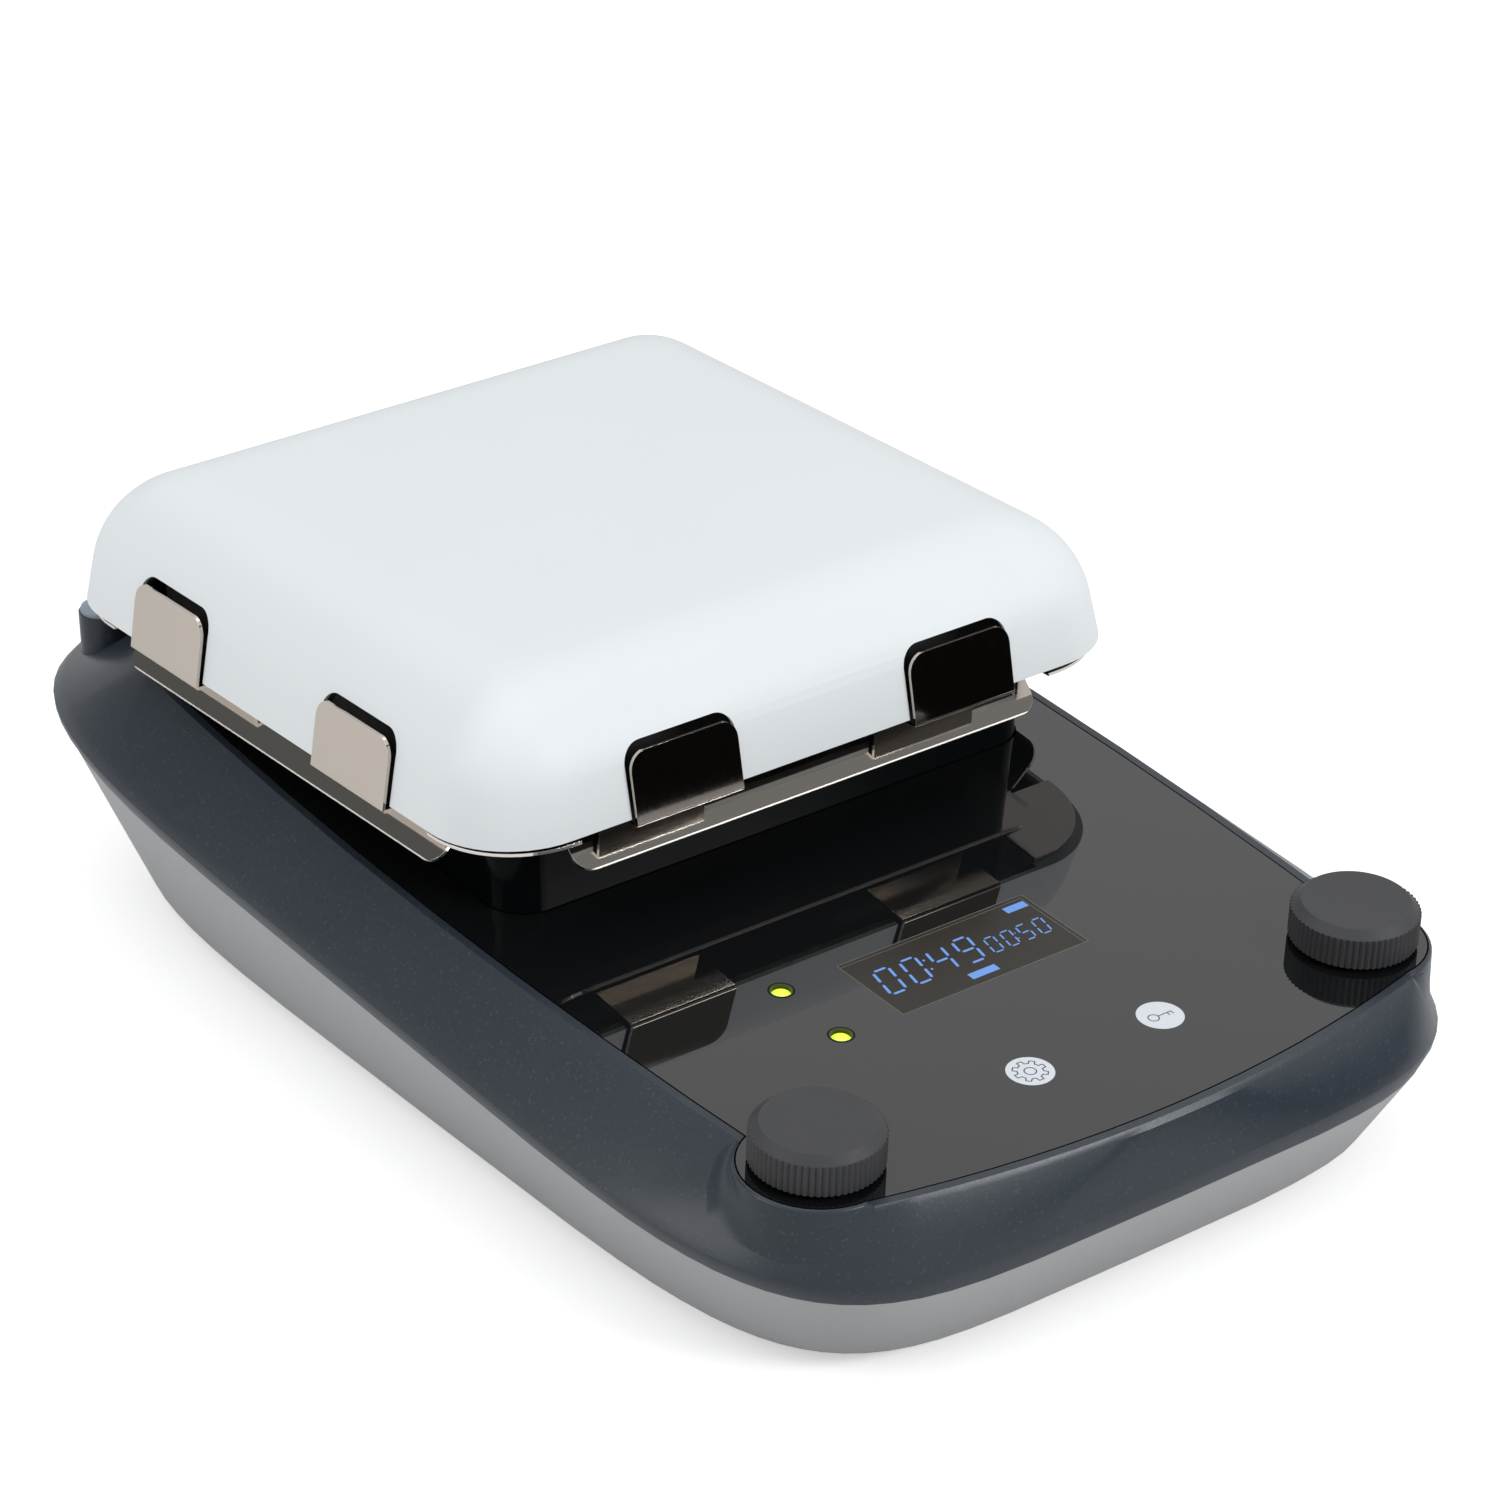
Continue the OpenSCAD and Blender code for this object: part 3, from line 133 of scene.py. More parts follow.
class Look:
    """A material or a world in the making: its graph, and one way to add a node to it."""

    def __init__(self, name, world=False):
        kept_in = bpy.data.worlds if world else bpy.data.materials
        self.owner = kept_in.new(name)
        self.owner.use_nodes = True
        self.tree = self.owner.node_tree
        self.tree.nodes.clear()
        self.end_kind = "ShaderNodeOutputWorld" if world else "ShaderNodeOutputMaterial"

    def add(self, kind, settings=None, sockets=None, out=0):
        node = self.tree.nodes.new(kind)
        for key, value in (settings or {}).items():
            setattr(node, key, value)
        for key, value in (sockets or {}).items():
            if isinstance(value, Wire):
                self.tree.links.new(value.socket, node.inputs[key])
            else:
                node.inputs[key].default_value = value
        return Wire(self, node.outputs[out])

    def place(self):
        return self.add("ShaderNodeTexCoord", out="Object")

    def part(self, axis):
        """The place along one axis: 0 for x, 1 for y, 2 for z."""
        return self.add("ShaderNodeSeparateXYZ", None, {"Vector": self.place()}, out=axis)

    def noise(self, size, detail=2.0, stretch=(1.0, 1.0, 1.0), rough=0.5):
        """Cloudy noise whose blotches are about size metres across."""
        at = self.add("ShaderNodeMapping", None, {"Vector": self.place(), "Scale": stretch})
        return self.add("ShaderNodeTexNoise", None,
                        {"Vector": at, "Scale": 1.0 / size, "Detail": detail, "Roughness": rough})

    def between(self, low, high, wire):
        """A number that runs from low to high as the wire runs from 0 to 1."""
        return wire * (high - low) + low

    def blend(self, factor, first, second):
        """A colour that runs from first to second with the factor."""
        return self.add("ShaderNodeMix", {"data_type": "RGBA"},
                        {"Factor": factor, "A": first, "B": second}, out="Result")

    def bump(self, height, depth, strength):
        return self.add("ShaderNodeBump", None,
                        {"Height": height, "Distance": depth, "Strength": strength})

    def end_in(self, shader):
        """Closes the graph with this shader, and gives the material or the world."""
        end = self.tree.nodes.new(self.end_kind)
        self.tree.links.new(shader.socket, end.inputs["Surface"])
        return self.owner

    def finish(self, sockets):
        """Closes the graph with the shader that most real surfaces need."""
        return self.end_in(self.add("ShaderNodeBsdfPrincipled", None, sockets))


def shade(colour, share=1.0):
    """A colour made darker or lighter by a share, with the alpha that a socket needs."""
    return tuple(share * v for v in colour) + (1.0,)


print("a look is ready to be filled")

# %% [markdown]
# ## The lamps
# Three soft area lamps light the hotplate. The big one overhead does most of the work. The one
# on the left brightens the long side, and a wide one far in front, on the right, draws the
# sheen on the rounded edges. Large lamps give soft shadows, as soft boxes do in a real studio.

# %% Lamps
def lamp(name, place, aim, size, power):
    data = bpy.data.lights.new(name, "AREA")
    data.shape = "RECTANGLE"
    data.size = size[0]
    data.size_y = size[1]
    data.energy = power
    made = bpy.data.objects.new(name, data)
    bpy.context.scene.collection.objects.link(made)
    made.location = place
    made.rotation_euler = (Vector(aim) - Vector(place)).to_track_quat("-Z", "Y").to_euler()
    return made


lamps = [
    lamp("lamp above", place=(-0.15, 0.05, 1.5), aim=(0.0, 0.0, 0.0), size=(1.6, 1.6), power=10.0),
    lamp("lamp left", place=(-1.4, 0.45, 0.75), aim=(0.0, 0.0, 0.05), size=(1.2, 0.8), power=8.5),
    lamp("lamp front", place=(0.7, -1.55, 0.9), aim=(0.0, 0.0, 0.05), size=(0.8, 0.35), power=18.5),
]
print("lamps:", {made.name: made.data.energy for made in lamps})

# %% [markdown]
# ## The room and the table
# The background is white by colour, not by more light. The camera, the mirrors and the glass
# see a plain white room, and everything else gets the softer light of a plain room from it. The
# table is a pale sheet that glows a little for the camera alone, so that it melts into the
# background and still keeps the shadow of the hotplate.

# %% Room and table
WHITE = (1.0, 1.0, 1.0, 1.0)
ROOM_LIGHT = 0.44
TABLE_COLOUR = (0.8, 0.8, 0.8, 1.0)
TABLE_GLOW = 0.45
TABLE_REACH = 3.0


def white_room():
    look = Look("room", world=True)
    seen = look.add("ShaderNodeLightPath", out="Is Camera Ray")
    for ray in ("Is Glossy Ray", "Is Transmission Ray"):
        seen = seen.maths("MAXIMUM", look.add("ShaderNodeLightPath", out=ray))
    level = look.add("ShaderNodeMix", {"data_type": "FLOAT"},
                     {"Factor": seen, "A": ROOM_LIGHT, "B": 1.0}, out="Result")
    return look.end_in(look.add("ShaderNodeBackground", None, {"Color": WHITE, "Strength": level}))


def white_table():
    look = Look("white table")
    paper = look.add("ShaderNodeBsdfDiffuse", None, {"Color": TABLE_COLOUR})
    glow = look.add("ShaderNodeEmission", None, {"Color": WHITE, "Strength": TABLE_GLOW})
    both = look.add("ShaderNodeAddShader", None, {0: paper, 1: glow})
    seen = look.add("ShaderNodeLightPath", out="Is Camera Ray")
    return look.end_in(look.add("ShaderNodeMixShader", None, {"Fac": seen, 1: paper, 2: both}))


def card(name, corners, material):
    """A flat four-cornered sheet that belongs to the stage and not to the hotplate."""
    made = bmesh.new()
    made.faces.new([made.verts.new(corner) for corner in corners])
    mesh = bpy.data.meshes.new(name)
    made.to_mesh(mesh)
    made.free()
    mesh.materials.append(material)
    thing = bpy.data.objects.new(name, mesh)
    bpy.context.scene.collection.objects.link(thing)
    return thing


bpy.context.scene.world = white_room()
corners = [(TABLE_REACH * x, TABLE_REACH * y, 0.0) for x, y in ((-1, -1), (1, -1), (1, 1), (-1, 1))]
table = card("table", corners, white_table())
print("stage:", table.name, "in a", bpy.context.scene.world.name)

# %% [markdown]
# ## Cards for the polished steel
# Polished steel has hardly a colour of its own: it shows what stands round it. A photographer
# sets up dark and grey cards for it, and so does this scene. A dark card lies on the table in
# front, a grey one stands above the front, and a grey one stands behind on the left. Neither
# the camera nor the light on matt parts meets them, and they cast no shadow, so only glossy
# parts mirror them: the tabs in front turn dark, and the deflector turns grey.

# %% Cards
CARD_TINT = (1.0, 0.99, 0.97, 1.0)
CARDS = {
    "dark card on the table": (
        0.004, [(0.06, -1.1, 0.001), (1.2, -1.1, 0.001), (1.2, -0.2, 0.001), (0.06, -0.2, 0.001)]),
    "grey card above the front": (
        0.2, [(0.3, -0.95, 0.6), (1.0, -0.55, 0.6), (1.0, -0.35, 1.15), (0.3, -0.75, 1.15)]),
    "grey card behind": (
        0.105, [(-1.1, 0.55, 0.25), (-0.35, 1.05, 0.25), (-0.35, 1.05, 1.0), (-1.1, 0.55, 1.0)]),
}


def card_look(name, level):
    look = Look(name)
    return look.end_in(look.add("ShaderNodeEmission", None, {"Color": CARD_TINT, "Strength": level}))


for name, (level, corners) in CARDS.items():
    mirrored = card(name, corners, card_look(name, level))
    mirrored.visible_camera = False
    mirrored.visible_diffuse = False
    mirrored.visible_shadow = False
print("cards:", list(CARDS))

# %% [markdown]
# ## The white ceramic coat
# The plate is metal under a white ceramic coat, which is smooth to the hand and very slightly
# mottled. Noise at two sizes gives both: wide clouds for the colour, and a fine grain for the
# roughness and the relief. The walls of the notches are coloured nearly black, which is painted
# shade for the dark hollow there. The rim leans in by a known angle, so a point that lies
# a millimetre behind the rim's face, at a notch's height, is on the wall of a notch.

# %% Ceramic-coated plate
RIM_LEAN = math.tan(math.radians(11))
NOTCH_RISE = 0.0169
NOTCH_END = 0.068
NOTCH_WALL_DEPTH = 0.0011
# Nearly black painted shade for the walls of the notches.
NOTCH_SHADE = (0.012, 0.012, 0.013, 1.0)
plate_low, plate_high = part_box("hot_plate")


def notch_shade_mask(look):
    """One on the walls of the notches, which are coloured with painted shade."""
    side = look.part(0).maths("ABSOLUTE")
    front = (look.part(1) - (plate_low[1] + plate_high[1]) / 2).maths("ABSOLUTE")
    height = look.part(2) - plate_low[2]
    wall = height * -RIM_LEAN + (plate_high[0] - NOTCH_WALL_DEPTH)
    inside = side.maths("MAXIMUM", front) < wall
    in_notch = (side.maths("MINIMUM", front) < NOTCH_END) * (height < NOTCH_RISE)
    return inside * in_notch


def ceramic_coat():
    look = Look("ceramic coat")
    cloud = look.noise(size=0.045, detail=3.0)
    grain = look.noise(size=0.0006, detail=2.0)
    coat = look.blend(cloud, (0.66, 0.694, 0.72, 1.0), (0.68, 0.714, 0.74, 1.0))
    return look.finish({
        # The walls of the notches take the painted shade in place of the coat's colour.
        "Base Color": look.blend(notch_shade_mask(look), coat, NOTCH_SHADE),
        "Roughness": look.between(0.48, 0.56, grain),
        "Normal": look.bump(grain, depth=0.00002, strength=0.35),
        "IOR": 1.44,
    })


looks = {"ceramic coat": ceramic_coat()}
print("plate:", [round(v, 4) for v in (plate_high - plate_low)], "notches rise", NOTCH_RISE)

# %% [markdown]
# ## The housing
# The upper housing is sprayed with a dark satin paint, blue-grey in this light, with a fine
# orange-peel grain and a few paler specks. The specks are the peaks of a noise, cut off with a
# comparison. The lower housing is moulded in one light grey, so it gets no specks, a slightly
# coarser grain and a softer sheen.

# %% Painted upper housing
SPECK_PEAK = 0.74
SPECK_SHARE = 0.12


def dark_paint():
    look = Look("dark paint")
    grain = look.noise(size=0.0007, detail=2.5)
    cloud = look.noise(size=0.03, detail=2.0)
    speck = look.noise(size=0.0007, detail=0.0) > SPECK_PEAK
    base = look.blend(cloud, (0.021, 0.0285, 0.038, 1.0), (0.026, 0.0345, 0.045, 1.0))
    return look.finish({
        "Base Color": look.blend(speck * SPECK_SHARE, base, (0.16, 0.18, 0.20, 1.0)),
        "Roughness": look.between(0.27, 0.38, grain),
        "Normal": look.bump(grain, depth=0.00004, strength=0.4),
        "IOR": 1.36,
    })


looks["dark paint"] = dark_paint()
print("painted:", looks["dark paint"].name)


# %% Moulded lower housing
def grey_moulding():
    look = Look("grey moulding")
    grain = look.noise(size=0.0008, detail=2.5)
    cloud = look.noise(size=0.06, detail=2.0)
    return look.finish({
        "Base Color": look.blend(cloud, (0.31, 0.318, 0.326, 1.0), (0.33, 0.338, 0.346, 1.0)),
        "Roughness": look.between(0.38, 0.5, grain),
        "Normal": look.bump(grain, depth=0.00003, strength=0.4),
        "IOR": 1.4,
    })


looks["grey moulding"] = grey_moulding()
print("moulded:", looks["grey moulding"].name)

# %% [markdown]
# ## Black glass and the black collar
# The control glass is black all through and mirrors the room sharply. What tells it from black
# paint is that the mirror is nearly perfect, so its roughness stays close to zero and changes
# only in long faint wipes. The collar under the plate is glossy too, but it is moulded: its
# surface is a little wavy and its reflection is weaker.

# %% Glossy black glass and collar
def black_glass():
    look = Look("black glass")
    wipe = look.noise(size=0.05, detail=4.0, stretch=(1.0, 0.35, 1.0))
    return look.finish({
        "Base Color": (0.005, 0.0055, 0.006, 1.0),
        "Roughness": look.between(0.0, 0.02, wipe),
        "IOR": 1.61,
    })


def black_gloss():
    look = Look("black gloss")
    wave = look.noise(size=0.02, detail=1.0)
    return look.finish({
        "Base Color": (0.0015, 0.002, 0.0025, 1.0),
        "Roughness": look.between(0.12, 0.2, wave),
        "Normal": look.bump(wave, depth=0.0002, strength=0.1),
        "IOR": 1.14,
    })


looks["black glass"] = black_glass()
looks["black gloss"] = black_gloss()
print("glossy black:", [look.name for look in (looks["black glass"], looks["black gloss"])])

# %% [markdown]
# ## Polished sheet steel
# The tabs and the heat deflector are thin stainless sheet with a mirror finish. The strokes of
# polishing run one way, so the noise for them is stretched along that way and drives a very low
# roughness. Along the lowest edge of the deflector a paler, rougher band is a painted highlight,
# the bright line that the edge catches; its height on the part picks it out.

# %% Tab steel and deflector steel
# Painted highlight: a paler, rougher band along the deflector's lowest edge.
HIGHLIGHT_HEIGHT = 0.0008
HIGHLIGHT_COLOUR = (0.86, 0.83, 0.79, 1.0)
HIGHLIGHT_ROUGHER = 0.4
CLOUD_SHARE = 0.93


def polished_sheet(name, colour, turn, highlight_top=0.0):
    """Mirror-like sheet; below the highlight top, a painted highlight band is paler and rougher."""
    look = Look(name)
    strokes = look.noise(size=0.0012, detail=3.0, stretch=turn)
    cloud = look.noise(size=0.03, detail=2.0)
    highlight_band = look.part(2) < highlight_top
    sheet = look.blend(cloud, shade(colour), shade(colour, CLOUD_SHARE))
    return look.finish({
        # Below the highlight top the sheet takes the painted highlight colour.
        "Base Color": look.blend(highlight_band, sheet, HIGHLIGHT_COLOUR),
        "Metallic": 1.0,
        "Roughness": look.between(0.03, 0.08, strokes) + highlight_band * HIGHLIGHT_ROUGHER,
        "Normal": look.bump(strokes, depth=0.000004, strength=0.2),
    })


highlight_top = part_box("heat_deflector")[0][2] + HIGHLIGHT_HEIGHT
looks["tab steel"] = polished_sheet("tab steel", (0.57, 0.515, 0.46), (1.0, 1.0, 0.05))
looks["deflector steel"] = polished_sheet("deflector steel", (0.76, 0.725, 0.68), (0.05, 0.05, 1.0),
                                          highlight_top)
print("polished sheet, hem up to", round(highlight_top, 4))

# %% [markdown]
# ## Plastics, rubber and plain metals
# Most other parts are moulded plastic, rubber or turned and pressed metal. Two recipes cover
# them: a matt one whose grain feeds roughness and relief, and a metal one whose tool strokes do
# the same and may be stretched along the part. Each finish is then one line of numbers: its
# colour, its lowest and its highest roughness, and where needed its grain.

# %% Knobs, plastics, rubber and plain metals
LIGHTER = 1.12
DARKER = 0.85
GRAIN = 0.0006
GRAIN_DEPTH = 0.00003


def matt_plastic(name, colour, low, high, grain_size=GRAIN, depth=GRAIN_DEPTH):
    look = Look(name)
    grain = look.noise(size=grain_size, detail=2.5)
    cloud = look.noise(size=0.02, detail=2.0)
    return look.finish({
        "Base Color": look.blend(cloud, shade(colour), shade(colour, LIGHTER)),
        "Roughness": look.between(low, high, grain),
        "Normal": look.bump(grain, depth=depth, strength=0.4),
        "IOR": 1.4,
    })


def plain_metal(name, colour, low, high, stretch=(1.0, 1.0, 1.0)):
    look = Look(name)
    strokes = look.noise(size=0.001, detail=3.0, stretch=stretch)
    return look.finish({
        "Base Color": look.blend(strokes, shade(colour), shade(colour, DARKER)),
        "Metallic": 1.0,
        "Roughness": look.between(low, high, strokes),
        "Normal": look.bump(strokes, depth=0.00001, strength=0.3),
    })


PLASTICS = {
    "knob plastic": ((0.03, 0.031, 0.033), 0.5, 0.62),
    "rubber": ((0.018, 0.018, 0.019), 0.75, 0.9, 0.0009, 0.00006),
    "connector plastic": ((0.012, 0.012, 0.013), 0.35, 0.5),
    "rocker plastic": ((0.02, 0.02, 0.021), 0.25, 0.4),
    "cap plastic": ((0.2, 0.235, 0.28), 0.4, 0.5),
    "plunger plastic": ((0.6, 0.6, 0.55), 0.4, 0.5),
    "cable jacket": ((0.03, 0.05, 0.22), 0.4, 0.55),
    "glass sleeve": ((0.5, 0.06, 0.035), 0.6, 0.8, 0.0004, 0.00008),
    "ribbon": ((0.35, 0.36, 0.38), 0.4, 0.55),
    "gasket foam": ((0.01, 0.01, 0.01), 0.85, 1.0, 0.0008, 0.00008),
    "touch pad": ((0.05, 0.05, 0.055), 0.6, 0.8),
}
METALS = {
    "bright steel": ((0.62, 0.62, 0.63), 0.22, 0.38),
    "socket steel": ((0.55, 0.56, 0.58), 0.25, 0.4, (1.0, 1.0, 0.1)),
    "nickel": ((0.66, 0.63, 0.58), 0.2, 0.3),
    "heat sink": ((0.5, 0.51, 0.53), 0.4, 0.55, (0.05, 1.0, 1.0)),
    "oxidised sheath": ((0.16, 0.14, 0.13), 0.45, 0.65),
    "clamp sheet": ((0.58, 0.58, 0.57), 0.35, 0.5),
}
for name, recipe in PLASTICS.items():
    looks[name] = matt_plastic(name, *recipe)
for name, recipe in METALS.items():
    looks[name] = plain_metal(name, *recipe)
print("plastics:", len(PLASTICS), "metals:", len(METALS))

# %% [markdown]
# ## The display's face and things that glow
# The display is a brownish grey film under glass, with a faint haze. The ink of its digits and
# the lenses of the lights give a little light of their own. A glowing finish has the same
# colour in its base and in its emission, and a haze makes it uneven, as a moulded lens is.

# %% Display and lights
def display_face():
    look = Look("display face")
    haze = look.noise(size=0.006, detail=2.0)
    return look.finish({
        "Base Color": look.blend(haze, (0.024, 0.021, 0.017, 1.0), (0.029, 0.0255, 0.021, 1.0)),
        "Roughness": look.between(0.2, 0.3, haze),
        "IOR": 1.26,
    })


def glowing(name, colour, strength, edge=0.9):
    """A finish that gives light; its dimmer patches have this share of its colour."""
    look = Look(name)
    haze = look.noise(size=0.0012, detail=1.0)
    return look.finish({
        "Base Color": look.blend(haze, shade(colour, edge), shade(colour)),
        "Roughness": look.between(0.3, 0.4, haze),
        "Emission Color": look.blend(haze, shade(colour, edge), shade(colour)),
        "Emission Strength": strength,
    })


looks["display face"] = display_face()
looks["status lamp"] = glowing("status lamp", (0.58, 0.9, 0.05), strength=0.95, edge=0.8)
print("glowing:", looks["status lamp"].name)

# %% [markdown]
# ## Boards and insulation
# Nobody sees the boards unless the housing is opened or the view comes from below, but each still
# looks like itself: green with paler traces under its lacquer. The felt pad under the heater is
# rough all through and coloured nearly black, as painted shade for the notch gaps it shows through.

# %% Circuit board and felt
def circuit_green():
    look = Look("circuit board")
    traces = look.noise(size=0.004, detail=1.0, stretch=(1.0, 0.2, 1.0)) > 0.52
    grain = look.noise(size=0.0005, detail=1.0)
    return look.finish({
        "Base Color": look.blend(traces, (0.012, 0.09, 0.04, 1.0), (0.02, 0.14, 0.06, 1.0)),
        "Roughness": look.between(0.3, 0.4, grain),
        "Normal": look.bump(traces, depth=0.00003, strength=0.5),
    })


# The felt's near-black colour is painted shade for the gaps at the notches.
def shade_dark_felt():
    look = Look("shade-dark felt")
    fibre = look.noise(size=0.0015, detail=5.0, stretch=(1.0, 1.0, 0.3), rough=0.7)
    return look.finish({
        "Base Color": look.blend(fibre, (0.014, 0.014, 0.014, 1.0), (0.03, 0.03, 0.03, 1.0)),
        "Roughness": look.between(0.85, 1.0, fibre),
        "Normal": look.bump(fibre, depth=0.0003, strength=0.7),
    })


looks["circuit board"] = circuit_green()
looks["shade-dark felt"] = shade_dark_felt()
print("finishes:", len(looks))

# %% [markdown]
# ## Dressing the solids
# Each solid takes its finish by name. Its mesh is left as it came, because its place and its
# shape are settled.

# %% Which finish goes where
DRESS = {
    "lower_housing": "grey moulding", "upper_housing": "dark paint", "control_glass": "black glass",
    "glass_gasket": "gasket foam", "display_module": "display face", "status_lights": "status lamp",
    "touch_pads": "touch pad", "control_board": "circuit board", "knob_encoders": "nickel",
    "encoder_nuts": "nickel", "left_plunger": "plunger plastic", "right_plunger": "plunger plastic",
    "left_shaft": "bright steel", "right_shaft": "bright steel", "left_knob": "knob plastic",
    "right_knob": "knob plastic", "pedestal_collar": "black gloss", "heat_deflector": "deflector steel",
    "tab_carrier": "tab steel", "hot_plate": "ceramic coat", "heating_element": "oxidised sheath",
    "element_clamp": "clamp sheet", "clamp_screw": "bright steel", "insulation_pad": "shade-dark felt",
    "temperature_probe": "bright steel", "overheat_thermostat": "nickel", "plate_screws": "bright steel",
    "power_board": "circuit board", "heat_sink": "heat sink", "ribbon_cable": "ribbon",
    "heater_leads": "glass sleeve", "mains_leads": "cable jacket", "power_inlet": "connector plastic",
    "inlet_screws": "bright steel", "switch_frame": "connector plastic", "switch_rocker": "rocker plastic",
    "rod_sockets": "socket steel", "left_rod_cap": "cap plastic", "right_rod_cap": "cap plastic",
    "rubber_feet": "rubber", "housing_screws": "bright steel", "collar_screws": "bright steel",
    "board_screws": "bright steel",
}
for name, thing in nodes.items():
    thing.data.materials.clear()
    thing.data.materials.append(looks[DRESS[name]])
print("dressed:", len(DRESS), "bare:", sorted(set(nodes) - set(DRESS)))

# %% [markdown]
# ## Soft shading and worn edges
# The solids arrive as flat facets. Two modifiers make them read as moulded and pressed parts,
# without moving a vertex of the mesh itself. The first joins the facets and shades them as one
# surface wherever they meet at a small angle. The second is for the two thin sheets alone: it
# rounds their sharp edges by a hair, as on any real part, so that they catch the light.

# %% Soft shading
SHARP_ANGLE = math.radians(24)
WELD = 0.000002
EDGE_ROUND = 0.0002
EDGE_STEPS = 2
EDGE_ANGLE = math.radians(40)


def soft_shading(limit):
    """Node group that shades a mesh smooth and keeps edges above the limit sharp."""
    group = bpy.data.node_groups.new("soft shading", "GeometryNodeTree")
    group.interface.new_socket("Geometry", in_out="INPUT", socket_type="NodeSocketGeometry")
    group.interface.new_socket("Geometry", in_out="OUTPUT", socket_type="NodeSocketGeometry")
    wire = group.nodes.new("NodeGroupInput").outputs["Geometry"]

    def step(kind, sockets=None, settings=None):
        nonlocal wire
        node = group.nodes.new(kind)
        for key, value in (settings or {}).items():
            setattr(node, key, value)
        for key, value in (sockets or {}).items():
            node.inputs[key].default_value = value
        group.links.new(wire, node.inputs["Geometry"])
        wire = node.outputs["Geometry"]
        return node

    step("GeometryNodeMergeByDistance", {"Distance": WELD})
    for name in ("custom_normal", "sharp_edge", "sharp_face"):
        step("GeometryNodeRemoveAttribute", {"Name": name})
    step("GeometryNodeSetShadeSmooth", {"Shade Smooth": True})
    keen = step("GeometryNodeSetShadeSmooth", {"Shade Smooth": False}, {"domain": "EDGE"})
    angle = group.nodes.new("GeometryNodeInputMeshEdgeAngle")
    over = group.nodes.new("ShaderNodeMath")
    over.operation = "GREATER_THAN"
    over.inputs[1].default_value = limit
    group.links.new(angle.outputs["Unsigned Angle"], over.inputs[0])
    group.links.new(over.outputs[0], keen.inputs["Selection"])
    end = group.nodes.new("NodeGroupOutput")
    group.links.new(wire, end.inputs["Geometry"])
    return group


def rounded_edges(thing):
    bevel = thing.modifiers.new("worn edges", "BEVEL")
    bevel.width = EDGE_ROUND
    bevel.segments = EDGE_STEPS
    bevel.limit_method = "ANGLE"
    bevel.angle_limit = EDGE_ANGLE
    bevel.harden_normals = True


soft = soft_shading(SHARP_ANGLE)
for thing in nodes.values():
    thing.modifiers.new("soft shading", "NODES").node_group = soft
for name in ("tab_carrier", "heat_deflector"):
    rounded_edges(nodes[name])
print("softened:", len(nodes))

# %% [markdown]
# ## The deck's own frame
# The display, the touch keys and the knobs all lie on a deck that slopes a little. They are
# easiest to draw flat, with x across, v up the slope from the row of knobs, and a height above
# the glass, all in millimetres, and then to scale and tilt into place together. What is printed
# or shown there is flat too, so one helper pulls flat faces up into something with thickness.

# %% From the flat deck to the sloping one
DECK_TILT = math.radians(4.12)
KNOB_ROW = Vector((0.0, -0.1396627, 0.050))
MM = 0.001
deck = Matrix.Translation(KNOB_ROW) @ Matrix.Rotation(DECK_TILT, 4, "X")


def on_deck(name, made, look, body="base"):
    """Turns a bmesh drawn in millimetres on the flat deck into a piece of the hotplate."""
    bmesh.ops.recalc_face_normals(made, faces=made.faces)
    mesh = bpy.data.meshes.new(name)
    made.to_mesh(mesh)
    made.free()
    mesh.transform(deck @ Matrix.Scale(MM, 4))
    mesh.materials.append(look)
    piece = bpy.data.objects.new(name, mesh)
    bpy.context.scene.collection.objects.link(piece)
    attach(piece, body)
    return piece


def thicken(made, faces, height):
    """Pulls flat faces up by a height, so that they become a thin solid."""
    grown = bmesh.ops.extrude_face_region(made, geom=faces)["geom"]
    raised = [part for part in grown if isinstance(part, bmesh.types.BMVert)]
    bmesh.ops.translate(made, verts=raised, vec=(0, 0, height))


print("knob row on the deck:", [round(v, 4) for v in deck @ Vector((0, 0, 0))])

# %% [markdown]
# ## Digits in the display
# A liquid-crystal digit is seven bars with pointed ends, leaning a little to the right. One
# bar is a flat outline of six points, pulled up by a hair. The letters a to g name the seven
# bars from the top one clockwise, with g across the middle, so a digit is a short word.

# %% Seven-segment digits
BARS = {"0": "abcdef", "4": "fgbc", "5": "afgcd", "9": "abcdfg"}
INK_RISE = 0.03
BAR_GAP = 0.1
digit_look = glowing("display ink", (0.12, 0.27, 0.66), strength=0.18)


def segment(made, start, end, thick):
    """One pointed bar of a digit: a flat six-point outline with a little thickness."""
    start = Vector(start)
    end = Vector(end)
    along = (end - start).normalized()
    side = Vector((-along.y, along.x)) * thick / 2
    tip = along * thick / 2
    outline = [start, start + tip + side, end - tip + side, end, end - tip - side, start + tip - side]
    face = made.faces.new([made.verts.new((p.x, p.y, 0.0)) for p in outline])
    thicken(made, [face], INK_RISE)


def digit(made, glyph, x, v, width, tall, thick, lean):
    """One digit: the bars that its word names, its head moved to the right by the lean."""
    gap = BAR_GAP * width

    def at(px, pv):
        return (x + px + lean * pv / tall, v + pv)

    inner = thick / 2
    left, right = inner, width - inner
    low, mid, high = inner, tall / 2, tall - inner
    ends = {
        "a": (at(left + gap, high), at(right - gap, high)),
        "b": (at(right, high - gap), at(right, mid + gap)),
        "c": (at(right, mid - gap), at(right, low + gap)),
        "d": (at(left + gap, low), at(right - gap, low)),
        "e": (at(left, mid - gap), at(left, low + gap)),
        "f": (at(left, high - gap), at(left, mid + gap)),
        "g": (at(left + gap, mid), at(right - gap, mid)),
    }
    for name in BARS[glyph]:
        segment(made, ends[name][0], ends[name][1], thick)


def number(made, text, left, foot, step, **size):
    """A row of digits, each a step to the right of the one before."""
    for place, glyph in enumerate(text):
        digit(made, glyph, left + step * place, foot, **size)


def dot(made, x, v, size):
    segment(made, (x - size / 2, v), (x + size / 2, v), size)


